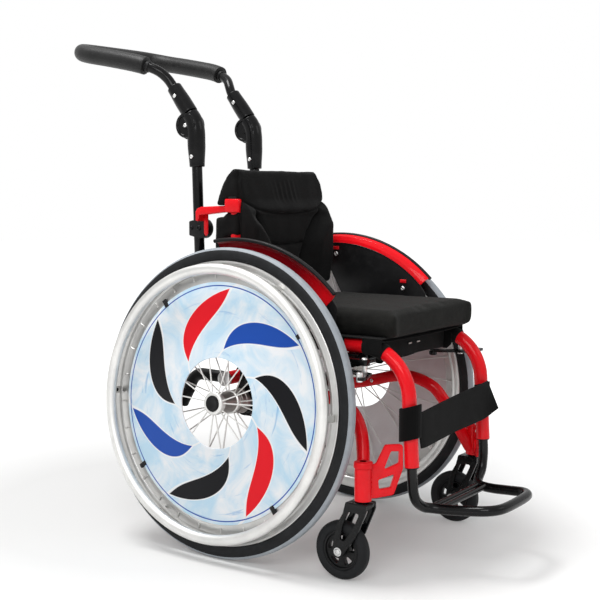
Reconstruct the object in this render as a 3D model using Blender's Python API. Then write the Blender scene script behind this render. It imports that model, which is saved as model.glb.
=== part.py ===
"""Child's active wheelchair with cambered wheels, swivelling casters and an adjustable push bar.

Units are metres. +Z is up, the chair faces -Y and +X is the user's left. The model
stands on Z = 0 and is symmetric about X = 0. Everything is drawn in chair
coordinates, whose Y = 0 lies over the rear axle, and hangs from one empty.
"""

import math

import bmesh
import bpy
from mathutils import Matrix, Vector

# Place of the rear axle in the finished frame
AXLE_Y = -0.0078

# Rear wheels
CAMBER = math.radians(4.8)
WHEEL_RADIUS = 0.2755
TREAD_HALF = 0.0040
WHEEL_X = 0.2185
WHEEL_Z = WHEEL_RADIUS * math.cos(CAMBER) + TREAD_HALF * math.sin(CAMBER)
WHEEL_STEPS = 36
RIM_OUTER = 0.2515
PUSHRIM_RADIUS = 0.2365
PUSHRIM_TUBE = 0.0095
PUSHRIM_OFFSET = 0.0362
GUARD_OUTER = 0.2143
GUARD_HOLE = 0.0800
SPOKES = 28
BUTTON_TRAVEL = 0.0035

# Casters
CASTER_X = 0.205
CASTER_RADIUS = 0.050
SWIVEL_Y = -0.285
CASTER_TRAIL = 0.039
CASTER_STEPS = 20
HOUSING_LOW = 0.1398
HOUSING_TOP = 0.2061

# Frame tubes
TUBE = 0.0125
SEAT_Z = 0.3865
FRONT_X = 0.136
FRONT_LEAN = 0.0577
FRONT_Y = -0.3315
FRONT_Z = 0.30
FRONT_END = 0.190
AXLE_TUBE_Z = 0.268
AXLE_TUBE = 0.0165
CROSS_Y = 0.056
CROSS_Z = 0.302
PLATE = (0.1494, 0.1554)
SEAT_CROSS_Y = -0.2250
BRAKE = (0.1760, -0.2680)

# Backrest and push bar
HINGE = (0.050, 0.512)
CANE_X = 0.116
BACK_HALF = 0.128
PUSH_X = 0.091
PUSH_LEAN = 0.030
ELBOW = (0.178, 0.772)
KNEE = (0.168, 0.791)

GAP = 0.0003
LOOSE = 0.0007

chair = None


def clear_scene():
    """Remove what the opened scene holds."""
    for obj in list(bpy.data.objects):
        bpy.data.objects.remove(obj)


def finish(name, colour, roughness, metallic=0.0):
    """Make one Principled finish."""
    made = bpy.data.materials.new(name)
    made.use_nodes = True
    shader = made.node_tree.nodes["Principled BSDF"]
    shader.inputs["Base Color"].default_value = (*colour, 1.0)
    shader.inputs["Roughness"].default_value = roughness
    shader.inputs["Metallic"].default_value = metallic
    made.diffuse_color = (*colour, 1.0)
    return made


def solid(bm):
    """Put a bmesh into a loose object that later steps cut, join or publish."""
    bmesh.ops.remove_doubles(bm, verts=bm.verts, dist=1e-6)
    bmesh.ops.recalc_face_normals(bm, faces=bm.faces)
    mesh = bpy.data.meshes.new("solid")
    bm.to_mesh(mesh)
    bm.free()
    obj = bpy.data.objects.new("solid", mesh)
    bpy.context.scene.collection.objects.link(obj)
    return obj


def combine(target, tool, operation):
    """Apply one Boolean of the tool to the target and drop the tool."""
    modifier = target.modifiers.new(operation, "BOOLEAN")
    modifier.operation = operation
    modifier.solver = "EXACT"
    modifier.object = tool
    bpy.context.view_layer.update()
    graph = bpy.context.evaluated_depsgraph_get()
    mesh = bpy.data.meshes.new_from_object(target.evaluated_get(graph))
    target.modifiers.remove(modifier)
    target.data = mesh
    bpy.data.objects.remove(tool)
    return target


def unite(target, *others):
    """Join solids into one body."""
    for other in others:
        combine(target, other, "UNION")
    return target


def cut(target, *tools):
    """Take the tools away from the target."""
    for tool in tools:
        combine(target, tool, "DIFFERENCE")
    return target


def gather(solids):
    """Hold several loose solids in one object, as one tool for a cut or a union."""
    bm = bmesh.new()
    for obj in solids:
        bm.from_mesh(obj.data)
        bpy.data.objects.remove(obj)
    mesh = bpy.data.meshes.new("solids")
    bm.to_mesh(mesh)
    bm.free()
    obj = bpy.data.objects.new("solids", mesh)
    bpy.context.scene.collection.objects.link(obj)
    return obj


def publish(obj, name, material, origin=(0.0, 0.0, 0.0), matrix=None):
    """Name a solid, give it its finish and hang it from the chair's empty.

    A solid in chair coordinates gets its origin at the given point. With a
    matrix the solid is in local coordinates and the matrix places it.
    """
    if matrix is None:
        obj.data.transform(Matrix.Translation(-Vector(origin)))
        matrix = Matrix.Translation(Vector(origin))
    obj.name = name
    obj.data.name = name
    obj.data.materials.clear()
    obj.data.materials.append(material)
    obj.data.shade_smooth()
    obj.data.set_sharp_from_angle(angle=math.radians(35))
    obj.parent = chair
    obj.matrix_local = matrix
    return obj


def box(low, high, bevel=0.0, sides=("X", "Y", "Z")):
    """Block between two corners, with its edges along the given axes rounded."""
    bm = bmesh.new()
    bmesh.ops.create_cube(bm, size=1.0)
    low, high = Vector(low), Vector(high)
    for vert in bm.verts:
        vert.co = Vector(low[i] if vert.co[i] < 0 else high[i] for i in range(3))
    if bevel:
        edges = []
        for edge in bm.edges:
            along = edge.verts[0].co - edge.verts[1].co
            if "XYZ"[max(range(3), key=lambda i: abs(along[i]))] in sides:
                edges.append(edge)
        bmesh.ops.bevel(bm, geom=edges, offset=bevel, segments=2, profile=0.5, affect="EDGES")
    return solid(bm)


def prism(outline, axis, start, end):
    """Extrude an outline along X (points are y, z), Y (x, z) or Z (x, y)."""
    place = {
        "X": lambda a, b: (start, a, b),
        "Y": lambda a, b: (a, start, b),
        "Z": lambda a, b: (a, b, start),
    }[axis]
    step = {"X": (end - start, 0, 0), "Y": (0, end - start, 0), "Z": (0, 0, end - start)}[axis]
    bm = bmesh.new()
    face = bm.faces.new([bm.verts.new(place(a, b)) for a, b in outline])
    made = bmesh.ops.extrude_face_region(bm, geom=[face])
    moved = [item for item in made["geom"] if isinstance(item, bmesh.types.BMVert)]
    bmesh.ops.translate(bm, verts=moved, vec=step)
    return solid(bm)


def turned(profile, steps, centre=(0.0, 0.0, 0.0), axis="X"):
    """Spin a profile of (along, radius) points about an axis.

    The flats of the polygon lie at the stated radii and one flat faces down. A
    profile that starts and ends on the axis gives a full body, any other a ring.
    """
    half = math.pi / steps
    bm = bmesh.new()
    verts = []
    for along, radius in profile:
        reach = radius / math.cos(half)
        point = Vector((along, reach * math.sin(half), -reach * math.cos(half)))
        verts.append(bm.verts.new(point))
    pairs = list(zip(verts, verts[1:]))
    if profile[0][1] > 0.0:
        pairs.append((verts[-1], verts[0]))
    edges = [bm.edges.new(pair) for pair in pairs]
    bmesh.ops.spin(bm, geom=edges, axis=(1, 0, 0), cent=(0, 0, 0), angle=2 * math.pi,
                   steps=steps, use_merge=True, use_duplicate=False)
    bmesh.ops.remove_doubles(bm, verts=bm.verts, dist=1e-6)
    if axis == "Z":
        bmesh.ops.rotate(bm, verts=bm.verts, cent=(0, 0, 0), matrix=Matrix.Rotation(-math.pi / 2, 3, "Y"))
    bmesh.ops.translate(bm, verts=bm.verts, vec=centre)
    return solid(bm)


def rod(start, end, radius, sides=12):
    """Round bar between two points, with the flats at the stated radius."""
    start, end = Vector(start), Vector(end)
    bm = bmesh.new()
    bmesh.ops.create_cone(bm, cap_ends=True, segments=sides, radius1=radius / math.cos(math.pi / sides),
                          radius2=radius / math.cos(math.pi / sides), depth=(end - start).length)
    bmesh.ops.rotate(bm, verts=bm.verts, cent=(0, 0, 0), matrix=Matrix.Rotation(math.pi / sides, 3, "Z"))
    turn = (end - start).to_track_quat("Z", "Y").to_matrix()
    bmesh.ops.rotate(bm, verts=bm.verts, cent=(0, 0, 0), matrix=turn)
    bmesh.ops.translate(bm, verts=bm.verts, vec=(start + end) / 2)
    return solid(bm)


def rounded_path(corners, radii, steps):
    """Polyline through the corners with each inner corner turned into an arc."""
    corners = [Vector(point) for point in corners]
    path = [corners[0]]
    for before, corner, after, radius in zip(corners, corners[1:], corners[2:], radii):
        into = (before - corner).normalized()
        out = (after - corner).normalized()
        half = into.angle(out) / 2
        reach = radius / math.tan(half)
        centre = corner + (into + out).normalized() * radius / math.sin(half)
        first = corner + into * reach - centre
        last = corner + out * reach - centre
        axis = first.cross(last).normalized()
        sweep_angle = first.angle(last)
        for step in range(steps + 1):
            path.append(centre + Matrix.Rotation(sweep_angle * step / steps, 3, axis) @ first)
    path.append(corners[-1])
    return path


def tube(path, radius, sides=12, bore=0.0):
    """Sweep a round section along a path, with a bore if one is given."""
    path = [Vector(point) for point in path]
    tangents = []
    for index in range(len(path)):
        before = path[max(index - 1, 0)]
        after = path[min(index + 1, len(path) - 1)]
        tangents.append((after - before).normalized())
    normal = tangents[0].orthogonal().normalized()
    bm = bmesh.new()
    shells = [radius] + ([bore] if bore else [])
    rings = [[] for _ in shells]
    for index, (point, tangent) in enumerate(zip(path, tangents)):
        if index:
            normal = tangents[index - 1].rotation_difference(tangent) @ normal
        side = tangent.cross(normal)
        for shell, reach in enumerate(shells):
            ring = []
            for count in range(sides):
                angle = 2 * math.pi * (count + 0.5) / sides
                offset = normal * math.cos(angle) + side * math.sin(angle)
                ring.append(bm.verts.new(point + offset * reach / math.cos(math.pi / sides)))
            rings[shell].append(ring)
    for ring_list in rings:
        for first, second in zip(ring_list, ring_list[1:]):
            for count in range(sides):
                after = (count + 1) % sides
                bm.faces.new((first[count], first[after], second[after], second[count]))
    for end in (0, -1):
        if bore:
            outer, inner = rings[0][end], rings[1][end]
            for count in range(sides):
                after = (count + 1) % sides
                bm.faces.new((outer[count], outer[after], inner[after], inner[count]))
        else:
            bm.faces.new(rings[0][end])
    return solid(bm)


def arc(centre, radius, start, end, steps):
    """Points of an arc, with angles in degrees from the first axis."""
    points = []
    for step in range(steps + 1):
        angle = math.radians(start + (end - start) * step / steps)
        points.append((centre[0] + radius * math.cos(angle), centre[1] + radius * math.sin(angle)))
    return points


def ribbon(path, thickness, low, high):
    """Upright strip of even thickness along a path of (x, y) points."""
    path = [Vector(point) for point in path]
    left, right = [], []
    for index, point in enumerate(path):
        before = path[max(index - 1, 0)]
        after = path[min(index + 1, len(path) - 1)]
        along = (after - before).normalized()
        offset = Vector((-along.y, along.x)) * thickness / 2
        left.append(point + offset)
        right.append(point - offset)
    return prism([tuple(point) for point in left + right[::-1]], "Z", low, high)


def flip(points, side):
    """Put |x|, y, z points on one side of the chair."""
    return [(side * x, y, z) for x, y, z in points]


def across(side, inner, outer):
    """Low and high X of a span given as distances from the middle plane."""
    return tuple(sorted((side * inner, side * outer)))


def front_y(z):
    """Y of the front tubes' centre line at a height."""
    return FRONT_Y - (FRONT_Z - z) * FRONT_LEAN


def push_y(z):
    """Y of the push tubes' centre line at a height."""
    return 0.159 + PUSH_LEAN * (z - 0.540)


def wheel_matrix(side):
    """Place of a rear wheel, whose local +X points outward along the leaning axle."""
    outward = Vector((side * math.cos(CAMBER), 0.0, math.sin(CAMBER)))
    forward = Vector((0.0, side, 0.0))
    up = outward.cross(forward)
    turn = Matrix((outward, forward, up)).transposed().to_4x4()
    return Matrix.Translation((side * WHEEL_X, 0.0, WHEEL_Z)) @ turn


def rear_wheel(side, tag, looks):
    """Tyre, rim, hand rim with its tabs, hub, spokes and spoke guard."""
    matrix = wheel_matrix(side)

    tyre = turned([(-0.0095, RIM_OUTER + GAP), (-0.0125, 0.2610), (-0.0100, 0.2700),
                   (-TREAD_HALF, WHEEL_RADIUS), (TREAD_HALF, WHEEL_RADIUS), (0.0100, 0.2700),
                   (0.0125, 0.2610), (0.0095, RIM_OUTER + GAP)], WHEEL_STEPS)
    publish(tyre, f"rear_tyre_{tag}", looks["tyre"], matrix=matrix)

    rim = turned([(-0.0105, RIM_OUTER), (-0.0100, 0.2400), (-0.0045, 0.2310),
                  (0.0045, 0.2310), (0.0100, 0.2400), (0.0105, RIM_OUTER)], WHEEL_STEPS)
    publish(rim, f"rear_rim_{tag}", looks["aluminium"], matrix=matrix)

    section = [(PUSHRIM_OFFSET + PUSHRIM_TUBE * math.cos(math.radians(60 * step)),
                PUSHRIM_RADIUS + PUSHRIM_TUBE * math.sin(math.radians(60 * step))) for step in range(6)]
    hand_rim = turned(section, WHEEL_STEPS)
    for count in range(6):
        tab = box((0.0110, -0.0070, 0.2400), (0.0310, 0.0070, 0.2430))
        tab.data.transform(Matrix.Rotation(math.radians(60 * count + 30), 4, "X"))
        unite(hand_rim, tab)
    publish(hand_rim, f"pushrim_{tag}", looks["aluminium"], matrix=matrix)

    hub = turned([(-0.0320, 0.0064), (-0.0320, 0.0110), (-0.0215, 0.0125), (-0.0215, 0.0205),
                  (-0.0185, 0.0205), (-0.0185, 0.0115), (0.0155, 0.0115), (0.0155, 0.0205),
                  (0.0185, 0.0205), (0.0185, 0.0165), (0.0285, 0.0165), (0.0285, 0.0142),
                  (0.0225, 0.0142), (0.0225, 0.0064)], 12)
    spokes = []
    for count in range(SPOKES):
        inner_x, outer_x = (0.0170, 0.0030) if count % 2 else (-0.0200, -0.0030)
        spoke = rod((inner_x, 0.0, 0.0190), (outer_x, 0.0, 0.2300), 0.0009, sides=4)
        spoke.data.transform(Matrix.Rotation(2 * math.pi * count / SPOKES, 4, "X"))
        spokes.append(spoke)
    unite(hub, gather(spokes))
    publish(hub, f"hub_spokes_{tag}", looks["aluminium"], matrix=matrix)

    guard = turned([(0.0155, GUARD_HOLE), (0.0175, GUARD_HOLE), (0.0135, GUARD_OUTER),
                    (0.0115, GUARD_OUTER)], WHEEL_STEPS)
    publish(guard, f"spoke_guard_{tag}", looks["guard"], matrix=matrix)

    pin = turned([(-0.1000, 0.0), (-0.1000, 0.0060), (-0.0530, 0.0060), (-0.0530, 0.0125),
                  (-0.0345, 0.0125), (-0.0345, 0.0060), (0.0220, 0.0060), (0.0220, 0.0)], 16)
    publish(pin, f"axle_pin_{tag}", looks["steel"], matrix=matrix)

    button = turned([(0.0265, 0.0), (0.0265, 0.0138), (0.0300, 0.0138), (0.0310, 0.0125),
                     (0.0310, 0.0)], 16)
    publish(button, f"axle_button_{tag}", looks["plastic"], matrix=matrix)


def caster(side, tag, looks):
    """Fork with its stem and axle bolt, tyre and spoked core."""
    pivot = (side * CASTER_X, SWIVEL_Y, HOUSING_LOW)
    axle = (side * CASTER_X, SWIVEL_Y + CASTER_TRAIL, CASTER_RADIUS)

    outline = [(-0.0155, 0.1376), (0.0240, 0.1376), (0.0290, 0.1180), (0.0400, 0.0990), (0.0500, 0.0560)]
    outline += arc((CASTER_TRAIL, CASTER_RADIUS), 0.0105, 15, -150, 4)
    outline += [(0.0037, 0.0803), (-0.0155, 0.1260)]
    window = [(-0.0030, 0.1210), (0.0190, 0.1210), (0.0300, 0.0960), (0.0350, 0.0720), (0.0260, 0.0700),
              (0.0100, 0.0930)]
    fork = prism([(SWIVEL_Y + y, z) for y, z in outline], "X", *across(side, 0.1885, 0.2215))
    cut(fork,
        prism([(SWIVEL_Y + y, z) for y, z in window], "X", *across(side, 0.180, 0.230)),
        box((side * CASTER_X - 0.0125, SWIVEL_Y - 0.050, 0.020),
            (side * CASTER_X + 0.0125, SWIVEL_Y + 0.080, 0.1280)))
    unite(fork, turned([(0.1370, 0.0), (0.1370, 0.0060), (0.2010, 0.0060), (0.2010, 0.0)],
                       12, pivot[:2] + (0.0,), "Z"))
    unite(fork, turned([(-0.0200, 0.0), (-0.0200, 0.0058), (-0.0150, 0.0058), (-0.0150, 0.0040),
                        (0.0150, 0.0040), (0.0150, 0.0058), (0.0200, 0.0058), (0.0200, 0.0)], 12, axle))
    publish(fork, f"caster_fork_{tag}", looks["black_metal"], pivot)

    tyre = turned([(-0.0080, 0.0333), (-0.0110, 0.0400), (-0.0085, 0.0480), (-0.0040, CASTER_RADIUS),
                   (0.0040, CASTER_RADIUS), (0.0085, 0.0480), (0.0110, 0.0400), (0.0080, 0.0333)],
                  CASTER_STEPS, axle)
    publish(tyre, f"caster_tyre_{tag}", looks["tyre"], axle)

    core = turned([(-0.0090, 0.0046), (-0.0075, 0.0330), (0.0075, 0.0330), (0.0090, 0.0046)],
                  CASTER_STEPS, axle)
    for count in range(5):
        hole = prism(arc((0.0, 0.0), 0.0280, 66, 114, 2) + arc((0.0, 0.0), 0.0150, 105, 75, 1),
                     "X", -0.02, 0.02)
        hole.data.transform(Matrix.Translation(axle) @ Matrix.Rotation(math.radians(72 * count), 4, "X"))
        cut(core, hole)
    publish(core, f"caster_core_{tag}", looks["plastic"], axle)


def gusset_matrix(side):
    """Place of a gusset, whose local +Y points from the swivel axis to the front tube."""
    heading = math.atan2(-0.048, -0.067 * side) - math.pi / 2
    return Matrix.Translation((side * CASTER_X, SWIVEL_Y, 0.0)) @ Matrix.Rotation(heading, 4, "Z")


def gusset(side, tag, looks):
    """Swivel housing with the pierced plate that carries it on the front tube."""
    outline = [(0.0100, 0.1990), (0.0234, 0.2000), (0.0391, 0.2299), (0.0424, 0.2308),
               (0.0702, 0.2298), (0.0707, 0.1887), (0.0539, 0.1456), (0.0239, 0.1429),
               (0.0100, 0.1429)]
    upper = [(0.0484, 0.2196), (0.0646, 0.2184), (0.0637, 0.1979), (0.0350, 0.1883)]
    lower = [(0.0259, 0.1730), (0.0570, 0.1812), (0.0491, 0.1580), (0.0272, 0.1567)]
    plate = prism(outline, "X", -0.003, 0.003)
    cut(plate, prism(upper, "X", -0.01, 0.01), prism(lower, "X", -0.01, 0.01))
    plate.data.transform(gusset_matrix(side))
    housing = turned([(HOUSING_LOW, 0.0066), (HOUSING_LOW, 0.0145), (0.1954, 0.0145), (0.1954, 0.0160),
                      (HOUSING_TOP, 0.0160), (HOUSING_TOP, 0.0066)], 16,
                     (side * CASTER_X, SWIVEL_Y, 0.0), "Z")
    unite(housing, plate)
    keep_out = rod((side * FRONT_X, front_y(0.12), 0.12), (side * FRONT_X, front_y(0.26), 0.26),
                   TUBE + LOOSE)
    bore = rod((side * CASTER_X, SWIVEL_Y, 0.10), (side * CASTER_X, SWIVEL_Y, 0.30), 0.0066)
    cut(housing, keep_out, bore)
    publish(housing, f"caster_housing_{tag}", looks["red"], (side * CASTER_X, SWIVEL_Y, HOUSING_LOW))


def side_frame(side, tag, looks):
    """Seat and front tube in one bend, with the lower tube that runs to the axle."""
    corners = flip([(FRONT_X, 0.035, SEAT_Z), (FRONT_X, front_y(SEAT_Z), SEAT_Z),
                    (FRONT_X, front_y(FRONT_END), FRONT_END)], side)
    upper = tube(rounded_path(corners, [0.086], 7), TUBE)
    cut(upper, rod((side * FRONT_X, front_y(0.17), 0.17), (side * FRONT_X, front_y(0.305), 0.305),
                   0.01025))
    publish(upper, f"side_tube_{tag}", looks["red"])

    path = [(0.2026, -0.2835, 0.1453), (0.1787, -0.2689, 0.1903), (0.1640, -0.2585, 0.2220),
            (0.1540, -0.2470, 0.2480), (0.1480, -0.2260, 0.2740), (0.1420, -0.1830, 0.2905),
            (0.1400, -0.1450, 0.2890), (0.1385, -0.1000, 0.2775), (0.1370, -0.0500, 0.2665),
            (0.1345, 0.0000, 0.2655)]
    lower = tube(flip(path, side), 0.0113, 10)
    web = prism([(0.0, 0.12), (0.06, 0.12), (0.06, 0.25), (0.0, 0.25)], "X", -0.003 - LOOSE, 0.003 + LOOSE)
    web.data.transform(gusset_matrix(side))
    cut(lower, web,
        rod((side * CASTER_X, SWIVEL_Y, 0.10), (side * CASTER_X, SWIVEL_Y, 0.25), 0.0145 + LOOSE, 16),
        rod((side * 0.10, 0.0, AXLE_TUBE_Z), (side * 0.17, 0.0, AXLE_TUBE_Z), AXLE_TUBE + LOOSE, 16))
    publish(lower, f"lower_tube_{tag}", looks["red"])


def rear_plate(side, tag, looks):
    """Plate between axle tube, seat tube and backrest hinge, with the hinge stud."""
    outline = arc((0.0, AXLE_TUBE_Z), 0.0265, 150, 390, 8)
    outline += [(0.0100, 0.3000), (0.0100, 0.3350), (0.0300, 0.3620), (0.0500, 0.3860),
                (0.0540, 0.4300), (0.0662, 0.5080)]
    outline += arc(HINGE, 0.0165, 0, 180, 5)
    outline += [(0.0240, 0.4200), (0.0120, 0.4040), (-0.0300, 0.4030), (-0.0370, 0.3950),
                (-0.0370, 0.3760), (-0.0290, 0.3650), (-0.0180, 0.3300)]
    plate = prism(outline, "X", *across(side, *PLATE))
    cut(plate, rod((side * 0.14, 0.0, AXLE_TUBE_Z), (side * 0.16, 0.0, AXLE_TUBE_Z),
                   AXLE_TUBE + LOOSE, 16))
    unite(plate, rod((side * 0.1300, *HINGE), (side * 0.1520, *HINGE), 0.0050))
    publish(plate, f"rear_plate_{tag}", looks["black_metal"], (side * PLATE[0], *HINGE))


def cross_tubes(looks):
    """Axle tube, rear cross tube with its links and tipping levers, and the tube under the seat.

    The tube under the seat clamps to both seat tubes and carries the two brakes.
    """
    axle = turned([(-0.1640, 0.0100), (-0.1640, AXLE_TUBE), (0.1640, AXLE_TUBE), (0.1640, 0.0100)],
                  16, (0.0, 0.0, AXLE_TUBE_Z))
    publish(axle, "axle_tube", looks["aluminium"], (0.0, 0.0, AXLE_TUBE_Z))

    rear = rod((-0.1440, CROSS_Y, CROSS_Z), (0.1440, CROSS_Y, CROSS_Z), TUBE)
    for side, tag in ((-1, "R"), (1, "L")):
        link = prism(arc((0.0, AXLE_TUBE_Z), 0.0235, 121, 301, 6)
                     + arc((CROSS_Y, CROSS_Z), 0.0190, -59, 121, 6), "X", *across(side, 0.1070, 0.1135))
        cut(link, rod((side * 0.10, 0.0, AXLE_TUBE_Z), (side * 0.13, 0.0, AXLE_TUBE_Z),
                      AXLE_TUBE + LOOSE, 16))
        unite(rear, link)

        path = rounded_path(flip([(0.129, CROSS_Y, CROSS_Z), (0.129, 0.136, 0.3040),
                                  (0.129, 0.172, 0.2420)], side), [0.030], 4)
        path = [point for point in path if point != path[0]]
        path.insert(0, Vector((side * 0.129, CROSS_Y + 0.004, CROSS_Z)))
        lever = tube(path, 0.0125, 10)
        cut(lever, rod((side * 0.10, CROSS_Y, CROSS_Z), (side * 0.16, CROSS_Y, CROSS_Z), TUBE + GAP))
        publish(lever, f"tipping_lever_{tag}", looks["plastic"], (side * 0.129, CROSS_Y, CROSS_Z))
    publish(rear, "rear_cross_tube", looks["red"], (0.0, CROSS_Y, CROSS_Z))

    front = rod((-0.1500, SEAT_CROSS_Y, 0.3600), (0.1500, SEAT_CROSS_Y, 0.3600), 0.0110)
    for side in (-1, 1):
        arm = [(0.1450, -0.2400), (0.1450, -0.2120), (0.1700, -0.2120), (0.1840, -0.2300),
               (0.1840, -0.2760), (0.1680, -0.2760), (0.1680, -0.2400)]
        unite(front,
              box((side * FRONT_X - 0.016, SEAT_CROSS_Y - 0.016, 0.3520),
                  (side * FRONT_X + 0.016, SEAT_CROSS_Y + 0.016, 0.3733)),
              prism([(side * x, y) for x, y in arm], "Z", 0.3600, 0.3700),
              rod((side * BRAKE[0], BRAKE[1], 0.3410), (side * BRAKE[0], BRAKE[1], 0.3650), 0.0040, 10))
    publish(front, "seat_cross_tube", looks["black_metal"], (0.0, SEAT_CROSS_Y, 0.3600))


def seat(looks):
    """Sling with its side flaps, and the cushion on it."""
    sling = box((-0.1516, -0.2850, 0.3998), (0.1516, -0.0450, 0.4023))
    unite(sling, box((-0.1470, -0.0500, 0.3998), (0.1470, 0.0100, 0.4023)))
    for side in (-1, 1):
        for rear, front in ((-0.2370, -0.2850), (-0.0450, -0.2100)):
            low, high = across(side, 0.1493, 0.1516)
            unite(sling, box((low, front, 0.3750), (high, rear, 0.4010)))
    publish(sling, "seat_sling", looks["fabric"], (0.0, -0.1400, 0.4010))

    cushion = box((-0.1415, -0.3090, 0.4026), (0.1415, -0.0100, 0.4480), 0.007)
    publish(cushion, "seat_cushion", looks["fabric"], (0.0, -0.1550, 0.4250))


def side_guard(side, tag, looks):
    """Clothes guard panel on two stand-offs, and the flared fender over the wheel."""
    outline = arc((0.0, WHEEL_Z), 0.2705, 134.4, 92.0, 8)
    outline = [(y, z) for y, z in outline]
    outline += [(0.0060, 0.4830), (-0.0105, 0.4485), (-0.0150, 0.4080), (-0.0400, 0.3780),
                (-0.0600, 0.3780), (-0.0700, 0.4050), (-0.1500, 0.4050), (-0.1600, 0.3780),
                (-0.1800, 0.3780), (-0.1980, 0.4080), (-0.2015, 0.4520)]
    panel = prism(outline, "X", *across(side, 0.1565, 0.1595))
    for y in (-0.1700, -0.0500):
        unite(panel, rod((side * 0.1520, y, SEAT_Z), (side * 0.1580, y, SEAT_Z), 0.0070, 10))
    publish(panel, f"side_guard_{tag}", looks["plastic"], (side * 0.1580, -0.0900, 0.4500))

    section = [(0.1598, 0.2546), (0.1598, 0.2700), (0.1650, 0.2840), (0.1770, 0.2897),
               (0.1772, 0.2872), (0.1668, 0.2822), (0.1622, 0.2700), (0.1622, 0.2546)]
    first, last, steps = 44.4, 100.0, 14
    bm = bmesh.new()
    rows = []
    for step in range(steps + 1):
        angle = math.radians(first + (last - first) * step / steps)
        rows.append([bm.verts.new((side * x, -radius * math.cos(angle), WHEEL_Z + radius * math.sin(angle)))
                     for x, radius in section])
    for row, after in zip(rows, rows[1:]):
        for index in range(len(section)):
            following = (index + 1) % len(section)
            bm.faces.new((row[index], row[following], after[following], after[index]))
    bm.faces.new(rows[0])
    bm.faces.new(rows[-1])
    publish(solid(bm), f"fender_{tag}", looks["red"], (side * 0.1598, 0.0, WHEEL_Z))


def calf_strap(looks):
    """Band in front of both front tubes, with an end wrapped round each."""
    x, y, reach = FRONT_X, front_y(0.258), 0.0165
    near = [(-x + reach * math.cos(math.radians(a)), y + reach * math.sin(math.radians(a)))
            for a in (20, 55, 90, 125, 160, 195, 230, 265)]
    far = [(-px, py) for px, py in reversed(near)]
    strap = ribbon(near + far, 0.0024, 0.2315, 0.2890)
    unite(strap, ribbon([(x - 0.0120, y - reach), (x + 0.0080, y - reach - 0.0010), (x + 0.0215, y - 0.0210)],
                        0.0024, 0.2330, 0.2875))
    publish(strap, "calf_strap", looks["fabric"], (0.0, y, 0.2580))


def footrest(looks):
    """Bent bar whose ends slide in the front tubes, with two cross rods."""
    half = [(FRONT_X, front_y(0.265), 0.265), (FRONT_X, front_y(0.165), 0.165), (0.1325, -0.3396, 0.1450),
            (0.1265, -0.3404, 0.1320), (0.1150, -0.3412, 0.1220), (0.1020, -0.3450, 0.1145),
            (0.0920, -0.3560, 0.1122), (0.0860, -0.3800, 0.1120),
            (0.0805, -0.4200, 0.1150), (0.0735, -0.4480, 0.1178), (0.0600, -0.4605, 0.1188),
            (0.0430, -0.4650, 0.1190)]
    bar = tube(flip(half, -1) + flip(half[::-1], 1), 0.00875, 10)
    for y, reach in ((-0.3540, 0.1120), (-0.3700, 0.0950)):
        unite(bar, rod((-reach, y, 0.1135), (reach, y, 0.1135), 0.0040, 8))
    publish(bar, "footrest_bar", looks["black_metal"], (0.0, front_y(0.148), 0.148))


def brake(side, tag, looks):
    """Swinging brake lever with its tyre shoe and finger knob."""
    outline = [(0.1660, -0.2770), (0.1900, -0.2850), (0.2080, -0.2940), (0.2230, -0.2950),
               (0.2230, -0.2830), (0.1960, -0.2740), (0.1880, -0.2600), (0.1800, -0.2570), (0.1600, -0.2200),
               (0.1480, -0.2160), (0.1450, -0.2240), (0.1640, -0.2620)]
    lever = prism([(side * x, y) for x, y in outline], "Z", 0.3420, 0.3470)
    unite(lever,
          rod((side * 0.2110, -0.2805, 0.3380), (side * 0.2110, -0.2805, 0.3540), 0.0055, 10),
          rod((side * 0.1520, -0.2220, 0.3360), (side * 0.1520, -0.2220, 0.3440), 0.0075, 10))
    cut(lever, rod((side * BRAKE[0], BRAKE[1], 0.33), (side * BRAKE[0], BRAKE[1], 0.358), 0.0045, 10))
    publish(lever, f"brake_lever_{tag}", looks["black_metal"], (side * BRAKE[0], BRAKE[1], 0.3445))


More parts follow.
